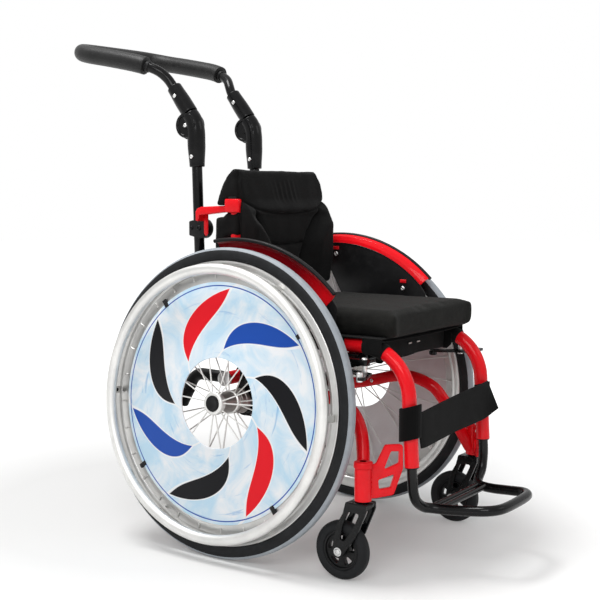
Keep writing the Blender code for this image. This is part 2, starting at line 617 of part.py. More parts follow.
def backrest(looks):
    """Canes with pivot barrels, clamps for the push tubes, pad and rear cover."""
    for side, tag in ((-1, "R"), (1, "L")):
        cane = tube(flip([(CANE_X, *HINGE), (CANE_X, 0.0470, 0.5650), (CANE_X, 0.0470, 0.6620)], side),
                    0.0110, 10)
        unite(cane, rod((side * 0.1040, *HINGE), (side * 0.1475, *HINGE), 0.0135, 14))
        cut(cane, rod((side * 0.1290, *HINGE), (side * 0.1600, *HINGE), 0.0055))
        publish(cane, f"back_cane_{tag}", looks["red"], (side * CANE_X, *HINGE))

        arm = box(*zip(across(side, 0.1005, 0.1320), (0.0345, 0.0620), (0.6075, 0.6360)))
        unite(arm,
              prism([(0.0600, 0.6220), (0.1330, 0.6190), (0.1410, 0.6120), (0.1410, 0.6010),
                     (0.0600, 0.6005)], "X", *across(side, 0.1012, 0.1220)),
              prism([(0.1230, 0.6100), (0.1355, 0.6100), (0.1355, 0.5700), (0.1320, 0.5640),
                     (0.1265, 0.5640), (0.1230, 0.5680)], "X", *across(side, 0.1012, 0.1045)))
        cut(arm, rod((side * CANE_X, 0.0470, 0.58), (side * CANE_X, 0.0470, 0.66), 0.0110 + 2 * LOOSE, 10))
        publish(arm, f"back_bracket_{tag}", looks["red"], (side * CANE_X, 0.0470, 0.6215))

        front = arc((0.1325, 0.5790), 0.0185, 90, 270, 4)
        clamp = prism(front + [(0.1740, 0.5660), (0.1740, 0.5920)], "X", *across(side, 0.0785, 0.1008))
        unite(clamp,
              prism(arc((0.1325, 0.5790), 0.0185, 125, 235, 3), "X", *across(side, 0.1000, 0.1040)),
              prism([(0.1362, 0.5620), (0.1740, 0.5660), (0.1740, 0.5920), (0.1362, 0.5960)],
                    "X", *across(side, 0.1000, 0.1042)))
        cut(clamp, rod((side * PUSH_X, push_y(0.52), 0.52), (side * PUSH_X, push_y(0.64), 0.64), 0.0100))
        publish(clamp, f"push_clamp_{tag}", looks["plastic"], (side * PUSH_X, push_y(0.578), 0.578))

    section = [(0.0000, 0.4690), (-0.0080, 0.5300), (-0.0080, 0.5850), (0.0120, 0.6200),
               (0.0200, 0.6320), (0.0340, 0.6880), (0.0340, 0.4690)]
    pad = prism(section, "X", -BACK_HALF, BACK_HALF)
    publish(pad, "backrest_pad", looks["fabric"], (0.0, *HINGE))

    outer = [(0.0345, 0.5660), (0.0835, 0.5660), (0.0785, 0.6170), (0.0600, 0.6715), (0.0400, 0.6880),
             (0.0345, 0.6880)]
    inner = [(0.0300, 0.5500), (0.0815, 0.5500), (0.0815, 0.5660), (0.0765, 0.6165), (0.0582, 0.6705),
             (0.0388, 0.6860), (0.0300, 0.6860)]
    cover = prism(outer, "X", -0.1305, 0.1305)
    cut(cover, prism(inner, "X", -0.1285, 0.1285))
    for side in (-1, 1):
        cut(cover, box(*zip(across(side, 0.0980, 0.1400), (0.0300, 0.0645), (0.5980, 0.6390))),
            box(*zip(across(side, 0.0990, 0.1400), (0.0600, 0.0900), (0.5980, 0.6245))))
    publish(cover, "backrest_cover", looks["fabric"], (0.0, *HINGE))


def push_bar(looks):
    """Push tubes with the lower elbow halves, and the handle on the upper halves."""
    ring = ELBOW
    for side, tag in ((-1, "R"), (1, "L")):
        low, high = 0.4550, 0.7330
        post = rod((side * PUSH_X, push_y(low), low), (side * PUSH_X, push_y(high), high), 0.0094)
        publish(post, f"push_tube_{tag}", looks["black_metal"], (side * PUSH_X, push_y(0.60), 0.60))

        lower = rod((side * PUSH_X, push_y(0.695), 0.695), (side * PUSH_X, push_y(0.739), 0.739), 0.0150, 14)
        half = rod((side * PUSH_X, push_y(0.730), 0.730), (side * PUSH_X, *KNEE), 0.0140, 14)
        cut(half, box(*zip(across(side, 0.07, 0.0917), (0.10, 0.25), (0.70, 0.85))))
        unite(lower, half,
              prism([(0.1600, 0.7450), (0.1740, 0.7420), (0.1900, 0.7560), (0.1850, 0.7850), (0.1700, 0.7920)],
                    "X", *across(side, 0.0919, 0.1030)),
              rod((side * 0.0915, *ring), (side * 0.1050, *ring), 0.0240, 16))
        cut(lower, rod((side * PUSH_X, push_y(0.68), 0.68), (side * PUSH_X, push_y(0.7345), 0.7345), 0.0097))
        publish(lower, f"elbow_lower_{tag}", looks["black_metal"], (side * PUSH_X, *ring))

        upper = rod((side * PUSH_X, 0.1828, 0.8072), (side * PUSH_X, 0.2200, 0.8470), 0.0130, 14)
        half = rod((side * PUSH_X, *KNEE), (side * PUSH_X, 0.1850, 0.8096), 0.0130, 14)
        cut(half, box(*zip(across(side, 0.0903, 0.12), (0.10, 0.25), (0.70, 0.85))))
        unite(upper, half,
              prism([(0.1850, 0.7860), (0.1950, 0.8050), (0.1780, 0.8050), (0.1600, 0.7860), (0.1700, 0.7700)],
                    "X", *across(side, 0.0790, 0.0901)),
              rod((side * 0.0770, *ring), (side * 0.0905, *ring), 0.0240, 16))
        cut(upper, rod((side * PUSH_X, 0.1958, 0.8228), (side * PUSH_X, 0.2324, 0.8619), 0.0104))
        publish(upper, f"elbow_upper_{tag}", looks["black_metal"], (side * PUSH_X, *ring))

    half = [(0.0910, 0.1982, 0.8254), (0.0910, 0.2196, 0.8483), (0.0960, 0.2305, 0.8650),
            (0.1050, 0.2430, 0.8785), (0.1125, 0.2620, 0.8885), (0.1155, 0.2740, 0.8930),
            (0.1180, 0.2950, 0.8990), (0.1190, 0.3300, 0.9065), (0.1188, 0.4080, 0.9214),
            (0.1135, 0.4350, 0.9270), (0.0985, 0.4560, 0.9318), (0.0700, 0.4648, 0.9340)]
    path = flip(half, -1) + flip(half[::-1], 1)
    bar = tube(path, 0.0090, 10)
    publish(bar, "handle_bar", looks["black_metal"], (0.0, *ring))

    covered = [point for point in path if point[1] > 0.25]
    grip = tube(covered, 0.0174, 10, bore=0.0099)
    publish(grip, "handle_grip", looks["foam"], (0.0, *ring))


def build():
    """Make every piece of the chair."""
    global chair
    clear_scene()
    chair = bpy.data.objects.new("chair_origin", None)
    chair.location = (0.0, AXLE_Y, 0.0)
    bpy.context.scene.collection.objects.link(chair)
    bpy.context.view_layer.update()

    looks = {
        "red": finish("gloss_red", (0.80, 0.012, 0.020), 0.22),
        "black_metal": finish("satin_black", (0.012, 0.012, 0.013), 0.38),
        "aluminium": finish("satin_aluminium", (0.72, 0.72, 0.70), 0.30, 1.0),
        "steel": finish("bright_steel", (0.66, 0.66, 0.66), 0.24, 1.0),
        "tyre": finish("tyre_rubber", (0.030, 0.030, 0.032), 0.60),
        "guard": finish("printed_guard", (0.62, 0.76, 0.90), 0.35),
        "plastic": finish("black_plastic", (0.016, 0.016, 0.017), 0.50),
        "fabric": finish("black_fabric", (0.012, 0.012, 0.013), 0.90),
        "foam": finish("grip_foam", (0.030, 0.030, 0.030), 0.75),
    }
    for side, tag in ((-1, "R"), (1, "L")):
        rear_wheel(side, tag, looks)
        caster(side, tag, looks)
        gusset(side, tag, looks)
        side_frame(side, tag, looks)
        rear_plate(side, tag, looks)
        side_guard(side, tag, looks)
        brake(side, tag, looks)
    cross_tubes(looks)
    seat(looks)
    calf_strap(looks)
    footrest(looks)
    backrest(looks)
    push_bar(looks)


build()
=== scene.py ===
"""Dressing of the child's active wheelchair: finishes, soft goods and small hardware.

Lengths are metres. Pieces are drawn in chair coordinates, whose Y = 0 lies over the
rear axle, and are moved to the model's frame when they are finished. The chair faces
-Y and +X is the user's left.
"""

from __future__ import annotations

import logging
import math
import sys
from dataclasses import dataclass
from enum import Enum
from typing import Callable, Iterable, Optional, Sequence

import bmesh
import bpy
from mathutils import Matrix, Vector, noise

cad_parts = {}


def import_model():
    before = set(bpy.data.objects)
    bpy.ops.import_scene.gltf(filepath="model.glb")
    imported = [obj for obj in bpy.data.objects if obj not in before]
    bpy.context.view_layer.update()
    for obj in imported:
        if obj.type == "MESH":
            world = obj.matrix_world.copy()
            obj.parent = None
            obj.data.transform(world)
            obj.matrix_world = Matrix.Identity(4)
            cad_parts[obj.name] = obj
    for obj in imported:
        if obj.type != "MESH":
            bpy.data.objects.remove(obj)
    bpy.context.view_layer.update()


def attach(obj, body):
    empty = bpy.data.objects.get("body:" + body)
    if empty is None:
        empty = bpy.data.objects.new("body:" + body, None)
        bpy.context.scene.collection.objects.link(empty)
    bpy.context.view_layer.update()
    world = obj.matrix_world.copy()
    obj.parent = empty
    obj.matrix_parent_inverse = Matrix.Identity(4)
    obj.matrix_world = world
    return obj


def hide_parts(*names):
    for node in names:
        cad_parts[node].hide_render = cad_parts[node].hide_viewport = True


LOG = logging.getLogger("wheelchair")

AXLE_Y = -0.0078
CAMBER = math.radians(4.8)
WHEEL_X = 0.2185
WHEEL_Z = 0.2755 * math.cos(CAMBER) + 0.004 * math.sin(CAMBER)
TUBE = 0.0125
SEAT_Z = 0.3865
FRONT_X = 0.136
AXLE_TUBE_Z = 0.268
BACK_PIVOT = (0.05, 0.512)
SWIVEL_X, SWIVEL_Y = 0.205, -0.285
BRAKE_PIVOT = (0.176, -0.268)

Socket = bpy.types.NodeSocket
Pair = tuple[float, float]
Triple = tuple[float, float, float]
Noise = tuple[float, ...]
Form = bmesh.types.BMesh


class Side(Enum):
    """The two sides of the chair, as the seated user has them."""

    RIGHT = -1
    LEFT = 1

    @property
    def tag(self) -> str:
        """Letter that ends the names of this side's pieces."""
        return "R" if self is Side.RIGHT else "L"

    def flip(self, points: Iterable[Sequence[float]]) -> list[tuple[float, ...]]:
        """Put points whose first value is |x| on this side."""
        return [(self.value * x, *others) for x, *others in points]

    def reach(self, inner: float, outer: float) -> list[float]:
        """Low and high X of what lies between two |x| on this side."""
        return sorted((self.value * inner, self.value * outer))

    def piece(self, name: str, form: Form, finish: Finish, node: str = "", body: str = "frame",
            **more: object) -> bpy.types.Object:
        """Make a piece of this side.

        Args:
            name: its name, without the side's letter.
            form: its form, which is freed.
            finish: its finish.
            node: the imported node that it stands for, without the letter.
            body: the body that it rides on.
            more: further settings.

        Returns:
            The piece's object.
        """
        stem, dot, mark = name.partition(".")
        node = node and f"{node}_{self.tag}"
        return Workshop.piece(f"{stem}_{self.tag}{dot}{mark}", form, finish, node, body, **more)


class Slot(Enum):
    """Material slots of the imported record."""

    RED = "red_paint"
    COAT = "black_coat"
    ALUMINIUM = "satin_aluminium"
    STEEL = "bright_steel"
    RUBBER = "tyre_rubber"
    GUARD = "guard_plastic"
    PLASTIC = "black_plastic"
    FABRIC = "black_fabric"
    FOAM = "grip_foam"


class Axis(Enum):
    """Direction in which a flat outline is given its thickness."""

    X = 0
    Y = 1
    Z = 2

    def place(self, pair: Pair, depth: float) -> Vector:
        """Point of an outline at a depth along this axis."""
        return Vector((*pair[:self.value], depth, *pair[self.value:]))


def mm(*points: Sequence[float]) -> list[tuple[float, ...]]:
    """Points that are written in millimetres, in metres."""
    return [tuple(round(value / 1000, 7) for value in point) for point in points]


def front_y(z: float) -> float:
    """Y of the front tubes' centre line at a height."""
    return -0.3315 - (0.3 - z) * 0.0577


def push_y(z: float) -> float:
    """Y of the push tubes' centre line at a height."""
    return 0.159 + 0.03 * (z - 0.54)


def upright(side: Side) -> Matrix:
    """Place of a turned form that stands on the floor under a caster's swivel."""
    return Matrix.Translation((side.value * SWIVEL_X, SWIVEL_Y, 0.0)) @ Matrix.Rotation(-math.pi / 2, 4, "Y")


class NodeBoard:
    """Shader nodes of one material or surround, laid with short calls."""

    def __init__(self, owner: bpy.types.ID) -> None:
        """Open the nodes of a new material or of a world."""
        self.owner = owner
        owner.use_nodes = True
        self.tree = owner.node_tree
        self.shader = self.tree.nodes.get("Principled BSDF")

    def add(self, kind: str, feeds: Optional[dict] = None, **settings: object) -> bpy.types.Node:
        """Add a node.

        Args:
            kind: the node's type name without its ShaderNode prefix.
            feeds: sockets or values for its inputs, by name or number.
            settings: the node's own properties.

        Returns:
            The new node.
        """
        node = self.tree.nodes.new("ShaderNode" + kind)
        for key, value in settings.items():
            setattr(node, key, value)
        for key, value in (feeds or {}).items():
            self.feed(node.inputs[key], value)
        return node

    def feed(self, target: Socket, value: object) -> None:
        """Link a socket to an input, or write a value into it."""
        if isinstance(value, bpy.types.NodeSocket):
            self.tree.links.new(value, target)
        elif isinstance(value, tuple) and len(value) == 3 and target.type == "RGBA":
            target.default_value = (*value, 1.0)
        else:
            target.default_value = value

    def set(self, **values: object) -> None:
        """Feed the shader's inputs; an underscore in a name stands for a space."""
        for key, value in values.items():
            self.feed(self.shader.inputs[key.replace("_", " ")], value)

    def place(self, matrix: Optional[Matrix] = None) -> Socket:
        """Object coordinates, turned into a piece's own frame where one is given.

        Args:
            matrix: the frame's place in the model, without scale.

        Returns:
            The vector socket.
        """
        coords = self.add("TexCoord").outputs["Object"]
        if matrix is None:
            return coords
        return self.add("Mapping", {"Vector": coords, "Location": tuple(matrix.translation),
            "Rotation": tuple(matrix.to_euler())}, vector_type="TEXTURE").outputs[0]

    def math(self, operation: str, *values: object) -> Socket:
        """One Math node."""
        return self.add("Math", dict(enumerate(values)), operation=operation).outputs[0]

    def vector(self, operation: str, *values: object) -> bpy.types.Node:
        """One Vector Math node."""
        return self.add("VectorMath", dict(enumerate(values)), operation=operation)

    def noise(self, vector: Socket, scale: float, detail: float = 3.0, rough: float = 0.5,
            distortion: float = 0.0) -> Socket:
        """Noise value at a scale per metre."""
        return self.add("TexNoise", {"Vector": vector, "Scale": scale, "Detail": detail, "Roughness": rough,
            "Distortion": distortion}).outputs["Fac"]

    def span(self, value: Socket, low: float, high: float, to_low: float = 0.0,
            to_high: float = 1.0) -> Socket:
        """Map a range of values to another, clamped."""
        return self.add("MapRange", {"Value": value, "From Min": low, "From Max": high, "To Min": to_low,
            "To Max": to_high}).outputs[0]

    def mix(self, factor: object, first: object, second: object) -> Socket:
        """Blend two colours."""
        node = self.add("Mix", data_type="RGBA")
        self.feed(node.inputs[0], factor)
        self.feed(node.inputs[6], first)
        self.feed(node.inputs[7], second)
        return node.outputs[2]

    def bump(self, height: Socket, strength: float, depth: float, under: Optional[Socket] = None) -> Socket:
        """Turn a height into a shading normal.

        Args:
            height: the height, from 0 to 1.
            strength: the share of the effect.
            depth: the height of a value of 1, in metres.
            under: a normal that this one is laid on.

        Returns:
            The normal socket.
        """
        feeds = {"Height": height, "Strength": strength, "Distance": depth}
        if under is not None:
            feeds["Normal"] = under
        return self.add("Bump", feeds).outputs[0]


class Finish:
    """Base of all finishes; each makes its material once."""

    made: dict[str, bpy.types.Material] = {}
    name = "finish"
    slot = Slot.COAT

    def material(self) -> bpy.types.Material:
        """The finish's material, made at its first use."""
        key = repr(self)
        if key not in Finish.made:
            board = NodeBoard(bpy.data.materials.new(self.name))
            self.lay(board)
            Finish.made[key] = board.owner
        return Finish.made[key]

    def lay(self, board: NodeBoard) -> None:
        """Lay the finish's nodes on the board."""
        raise NotImplementedError


@dataclass(frozen=True)
class Mottled(Finish):
    """Base of finishes of two tones in soft patches, with uneven gloss and a fine grain.

    Each noise is given by its scale per metre, detail, roughness and distortion.
    """

    name: str = "mottled"
    slot: Slot = Slot.COAT
    colour: Triple = (0.5, 0.5, 0.5)
    worn: Triple = (0.4, 0.4, 0.4)
    patch: Noise = (40,)
    spread: Triple = (0.4, 0.7, 1.0)
    rub: Noise = ()
    rubbed: Pair = (0.3, 0.7)
    roughness: Pair = (0.4, 0.5)
    grain: Noise = (1000, 2)
    relief: Pair = (0.2, 0.0004)
    metallic: float = 0.0
    specular: float = 0.5
    coat: Pair = (0.0, 0.03)

    def lay(self, board: NodeBoard) -> None:
        """Lay worn patches, uneven gloss and the grain."""
        place = board.place()
        low, high, share = self.spread
        patch = board.span(board.noise(place, *self.patch), low, high, 0.0, share)
        rub = board.noise(place, *(self.rub or self.patch))
        board.set(Base_Color=board.mix(patch, self.colour, self.worn),
            Roughness=board.span(rub, *self.rubbed, *self.roughness),
            Normal=board.bump(board.noise(place, *self.grain), *self.relief), Metallic=self.metallic,
            Specular_IOR_Level=self.specular, Coat_Weight=self.coat[0], Coat_Roughness=self.coat[1])


@dataclass(frozen=True)
class Enamel(Mottled):
    """Glossy stoved paint with slight orange peel and handling marks."""

    name: str = "signal_red_enamel"
    slot: Slot = Slot.RED
    colour: Triple = (0.93, 0.007, 0.0145)
    worn: Triple = (0.7, 0.007, 0.012)
    patch: Noise = (22, 4, 0.6)
    spread: Triple = (0.42, 0.72, 0.55)
    rub: Noise = (260, 3, 0.6)
    rubbed: Pair = (0.3, 0.75)
    roughness: Pair = (0.24, 0.34)
    grain: Noise = (420, 2)
    relief: Pair = (0.1, 0.0006)
    specular: float = 0.05
    coat: Pair = (0.3, 0.07)


@dataclass(frozen=True)
class FenderEnamel(Enamel):
    """Enamel of the fender's wheel side with painted shade: darker away from its front end."""

    # colour of the painted shade, reached away from the fender's front end
    deep: Triple = (0.26, 0.003, 0.008)

    def lay(self, board: NodeBoard) -> None:
        """Lay the paint, then darken it with painted shade by the angle about the axle."""
        super().lay(board)
        parts = board.add("SeparateXYZ", {0: board.place()}).outputs
        angle = board.math("ARCTAN2", board.math("SUBTRACT", parts[2], WHEEL_Z),
            board.math("MULTIPLY", board.math("SUBTRACT", parts[1], AXLE_Y), -1.0))
        plain = board.shader.inputs["Base Color"].links[0].from_socket
        board.set(Base_Color=board.mix(board.span(angle, 0.84, 1.1), plain, self.deep))


@dataclass(frozen=True)
class PowderCoat(Mottled):
    """Satin black powder coat with a fine grain and paler rubbed spots."""

    name: str = "satin_black_coat"
    colour: Triple = (0.0034, 0.0034, 0.0038)
    worn: Triple = (0.0075, 0.0075, 0.0078)
    patch: Noise = (35, 5, 0.65)
    spread: Triple = (0.48, 0.78, 1.0)
    rub: Noise = (120, 3)
    roughness: Pair = (0.2, 0.3)
    grain: Noise = (1500, 2)
    relief: Pair = (0.08, 0.0004)
    specular: float = 0.07
    coat: Pair = (0.3, 0.11)


@dataclass(frozen=True)
class Metal(Mottled):
    """Bare or anodised metal with a cloudy tone and faint rolling marks."""

    name: str = "satin_aluminium"
    slot: Slot = Slot.ALUMINIUM
    colour: Triple = (0.8, 0.795, 0.775)
    worn: Triple = (0.7, 0.695, 0.68)
    patch: Noise = (18, 4, 0.6)
    rub: Noise = (700, 2, 0.6)
    roughness: Pair = (0.42, 0.54)
    grain: Noise = (700, 2, 0.6)
    relief: Pair = (0.05, 0.0004)
    metallic: float = 1.0


@dataclass(frozen=True)
class Rubber(Mottled):
    """Tyre rubber, powdery with handling, with a fine moulded grain."""

    name: str = "tyre_rubber"
    slot: Slot = Slot.RUBBER
    colour: Triple = (0.0105, 0.011, 0.012)
    worn: Triple = (0.022, 0.023, 0.025)
    patch: Noise = (40, 5, 0.65)
    spread: Triple = (0.4, 0.75, 1.0)
    roughness: Pair = (0.52, 0.72)
    grain: Noise = (900, 2)
    relief: Pair = (0.22, 0.0004)
    specular: float = 0.18


@dataclass(frozen=True)
class MouldedPlastic(Mottled):
    """Moulded plastic with a fine spark-eroded grain and soft scuffs."""

    name: str = "black_plastic"
    slot: Slot = Slot.PLASTIC
    colour: Triple = (0.0055, 0.0055, 0.006)
    worn: Triple = (0.011, 0.011, 0.0115)
    patch: Noise = (60, 5, 0.7)
    spread: Triple = (0.5, 0.75, 1.0)
    rubbed: Pair = (0.3, 0.75)
    roughness: Pair = (0.36, 0.52)
    grain: Noise = (1100, 2)
    specular: float = 0.2


@dataclass(frozen=True)
class GuardBack(Mottled):
    """Unprinted milky grey back of the spoke guard."""

    name: str = "guard_back"
    slot: Slot = Slot.GUARD
    colour: Triple = (0.78, 0.72, 0.73)
    worn: Triple = (0.84, 0.8, 0.81)
    patch: Noise = (14, 4, 0.6, 1)
    spread: Triple = (0.4, 0.62, 1.0)
    roughness: Pair = (0.3, 0.42)
    grain: Noise = (40, 2)
    relief: Pair = (0.06, 0.001)
    coat: Pair = (0.1, 0.03)


@dataclass(frozen=True)
class WovenCloth(Finish):
    """Black woven cover cloth: a fine basket weave, lint and sewn seams."""

    name: str = "black_cover_cloth"
    slot: Slot = Slot.FABRIC
    colour: Triple = (0.006, 0.006, 0.0062)
    lint: Triple = (0.013, 0.013, 0.0125)
    pitch: float = 0.0011
    sheen: float = 0.05
    weave: float = 0.55
    seams: bool = False

    def lay(self, board: NodeBoard) -> None:
        """Lay the yarn, its lint and, where sewn, darker seams."""
        place = board.place()
        scaled = board.vector("SCALE", place)
        scaled.inputs["Scale"].default_value = 2.0 * math.pi / self.pitch
        waves = board.vector("SINE", scaled.outputs[0])
        yarn = board.vector("DOT_PRODUCT", waves.outputs[0], (0.33, 0.33, 0.33)).outputs["Value"]
        yarn = board.span(yarn, -0.8, 0.8)
        fuzz = board.noise(place, 55, 6, 0.7)
        tone = board.mix(board.span(fuzz, 0.4, 0.72, 0.0, 0.8), self.colour, self.lint)
        tone = board.mix(board.span(yarn, 0.0, 1.0, 0.35, 0.0), tone, (0.004, 0.004, 0.004))
        normal = board.bump(yarn, self.weave, 0.00035)
        if self.seams:
            seam = board.add("Attribute", attribute_name="seam").outputs["Fac"]
            tone = board.mix(board.span(seam, 0.0, 1.0, 0.0, 0.85), tone, (0.003, 0.003, 0.003))
            normal = board.bump(board.noise(place, 90, 3), 0.25, 0.0016, normal)
        board.set(Base_Color=tone, Roughness=board.span(fuzz, 0.3, 0.7, 0.78, 0.95), Sheen_Weight=self.sheen,
            Sheen_Roughness=0.45, Specular_IOR_Level=0.09, Normal=normal)


@dataclass(frozen=True)
class GripFoam(Finish):
    """Closed-cell grip foam, dark grey and finely pored."""

    name: str = "grip_foam"
    slot: Slot = Slot.FOAM
    colour: Triple = (0.008, 0.008, 0.0082)
    pale: Triple = (0.015, 0.015, 0.0146)

    def lay(self, board: NodeBoard) -> None:
        """Lay the foam: pores and a mottled tone."""
        place = board.place()
        cells = board.add("TexVoronoi", {"Vector": place, "Scale": 900.0}).outputs["Distance"]
        mottle = board.noise(place, 70, 4, 0.6)
        board.set(Base_Color=board.mix(board.span(mottle, 0.35, 0.7), self.colour, self.pale),
            Roughness=board.span(mottle, 0.3, 0.7, 0.4, 0.52), Specular_IOR_Level=0.25, Sheen_Weight=0.06,
            Sheen_Roughness=0.4, Normal=board.bump(cells, 0.25, 0.0005))


@dataclass(frozen=True)
class PrintedDisc(Finish):
    """Printed spoke guard: a sky wash under a pinwheel of blades, waves and dots."""

    name: str = "printed_guard"
    slot: Slot = Slot.GUARD
    side: int = -1
    blades: int = 7
    sky: Triple = (0.56, 0.77, 0.92)
    pale: Triple = (0.9, 0.93, 0.96)
    red: Triple = (0.83, 0.01, 0.02)
    blue: Triple = (0.016, 0.08, 0.42)
    ink: Triple = (0.005, 0.005, 0.007)

    def lay(self, board: NodeBoard) -> None:
        """Lay the print in the wheel's own frame."""
        side = Side(self.side)
        local = board.place(Matrix.Translation((0, AXLE_Y, 0)) @ RearWheel(side).matrix())
        parts = board.add("SeparateXYZ", {0: local}).outputs
        flat = board.add("CombineXYZ", {1: parts[1], 2: parts[2]}).outputs[0]
        reach = board.vector("LENGTH", flat).outputs["Value"]
        angle = board.math("ARCTAN2", parts[2], parts[1])
        turn = board.math("ADD", board.math("MULTIPLY", angle, self.blades / (2 * math.pi)),
            board.math("MULTIPLY", reach, 9.0))
        cloud = board.noise(flat, 11, 4, 0.55, 1.6)
        tone = board.mix(board.span(cloud, 0.38, 0.66), self.sky, self.pale)
        swirl = board.add("CombineXYZ", {0: board.math("MULTIPLY", reach, 60.0),
            1: board.math("MULTIPLY", turn, 0.8)}).outputs[0]
        brush = board.noise(swirl, 1.6, 4, 0.6, 0.6)
        tone = board.mix(board.span(brush, 0.62, 0.72, 0.0, 0.55), tone, (0.16, 0.42, 0.74))
        sector = board.math("FRACT", turn)
        length = board.span(reach, 0.096, 0.204)
        belly = board.math("SINE", board.math("MULTIPLY", length, math.pi))
        half = board.math("MULTIPLY", belly, 0.24)
        off = board.math("ABSOLUTE", board.math("SUBTRACT", sector, 0.5))
        edge = board.math("SUBTRACT", half, off)
        inside = board.span(edge, 0.0, 0.006)
        rim = board.span(edge, -0.03, -0.022)
        blade = board.math("FLOORED_MODULO", board.math("FLOOR", turn), self.blades)
        blade = board.math("ADD", blade, board.math("GREATER_THAN", blade, self.blades - 1.5))
        kind = board.math("FRACT", board.math("MULTIPLY", blade, 1.0 / 3.0))
        shade = board.mix(board.math("GREATER_THAN", kind, 0.2), self.red,
            board.mix(board.math("GREATER_THAN", kind, 0.5), self.ink, self.blue))
        tone = board.mix(rim, tone, (0.9, 0.92, 0.94))
        tone = board.mix(inside, tone, shade)
        ring = board.span(board.math("ABSOLUTE", board.math("SUBTRACT", reach, 0.2075)), 0.0008, 0.0013, 1.0,
            0.0)
        tone = board.mix(ring, tone, self.blue)
        board.set(Base_Color=tone, Roughness=board.span(cloud, 0.3, 0.7, 0.28, 0.38), Specular_IOR_Level=0.15,
            Normal=board.bump(board.noise(local, 60, 2), 0.05, 0.001))


ENAMEL = Enamel()
# enamel with painted shade, for the fender's wheel side
SHADED = FenderEnamel(name="fender_enamel_painted_shade")
COAT = PowderCoat()
ALLOY = Metal()
RIM_ALLOY = Metal(name="rim_aluminium", colour=(0.6, 0.595, 0.58), worn=(0.49, 0.485, 0.475),
    roughness=(0.3, 0.42))
STEEL = Metal(name="bright_steel", slot=Slot.STEEL, colour=(0.74, 0.74, 0.73), worn=(0.62, 0.62, 0.62),
    roughness=(0.26, 0.38))
AXLE_ALLOY = Metal(name="dull_aluminium", colour=(0.36, 0.33, 0.31), worn=(0.27, 0.25, 0.235),
    roughness=(0.38, 0.52))
RUBBER = Rubber()
# pale grey-blue rubber of the tread: a painted reflection of the studio light on the tyre
TREAD_PAINTED_REFLECTION = Rubber(name="tread_rubber_painted_reflection", colour=(0.35, 0.38, 0.415), worn=(0.44, 0.47, 0.5), roughness=(0.4, 0.55))
PLASTIC = MouldedPlastic()
CLIP = MouldedPlastic(name="clip_plastic", colour=(0.014, 0.014, 0.015), worn=(0.024, 0.024, 0.024))
CLOTH = WovenCloth()
SEAT_CLOTH = WovenCloth(name="black_seat_cloth", colour=(0.012, 0.0118, 0.0108), lint=(0.024, 0.0238, 0.0215),
    seams=True)
BACK_CLOTH = WovenCloth(name="black_back_cloth", seams=True)
WEBBING = WovenCloth(name="black_webbing", pitch=0.0016, weave=0.8, colour=(0.003, 0.003, 0.0032),
    lint=(0.0065, 0.0065, 0.0065))
FOAM = GripFoam()
GUARD_BACK = GuardBack()
RED_CAP = MouldedPlastic(name="red_cap_plastic", slot=Slot.RED, colour=(0.78, 0.009, 0.015),
    worn=(0.68, 0.008, 0.013), roughness=(0.28, 0.4))


def rounded(points: Sequence[Pair], radius: float, steps: int = 3, closed: bool = True,
        radii: Optional[dict[int, float]] = None) -> list[Pair]:
    """Round the corners of a flat outline.

    Args:
        points: the outline's corners.
        radius: the fillet's radius, cut short where an edge is too short.
        steps: arc divisions at each corner.
        closed: whether the last corner joins the first.
        radii: other radii by corner number.

    Returns:
        The outline with arcs in place of its corners.
    """
    result: list[Pair] = []
    count = len(points)
    for index, corner in enumerate(points):
        here = Vector(corner)
        before, after = Vector(points[index - 1]), Vector(points[(index + 1) % count])
        if not closed and index in (0, count - 1):
            result.append(tuple(here))
            continue
        into, out = (before - here), (after - here)
        angle = into.angle(out)
        size = (radii or {}).get(index, radius)
        if size <= 0.0 or angle > math.radians(176) or angle < math.radians(4):
            result.append(tuple(here))
            continue
        reach = min(size / math.tan(angle / 2), into.length * 0.48, out.length * 0.48)
        size = reach * math.tan(angle / 2)
        into.normalize()
        out.normalize()
        centre = here + (into + out).normalized() * size / math.sin(angle / 2)
        first, last = here + into * reach - centre, here + out * reach - centre
        turn = math.atan2(first.x * last.y - first.y * last.x, first.dot(last))
        for step in range(steps + 1):
            spun = Matrix.Rotation(turn * step / steps, 2) @ first
            result.append(tuple(centre + spun))
    return result


def both_ways(half: Sequence[Pair]) -> list[Pair]:
    """Profile of a form that is the same at both ends, from its half."""
    return [(-along, radius) for along, radius in half] + list(half[::-1])


def arc(centre: Pair, radius: float, start: float, end: float, steps: int) -> list[Pair]:
    """Points of a flat arc, with angles in degrees from the first axis."""
    angles = [math.radians(start + (end - start) * step / steps) for step in range(steps + 1)]
    return [(centre[0] + radius * math.cos(a), centre[1] + radius * math.sin(a)) for a in angles]


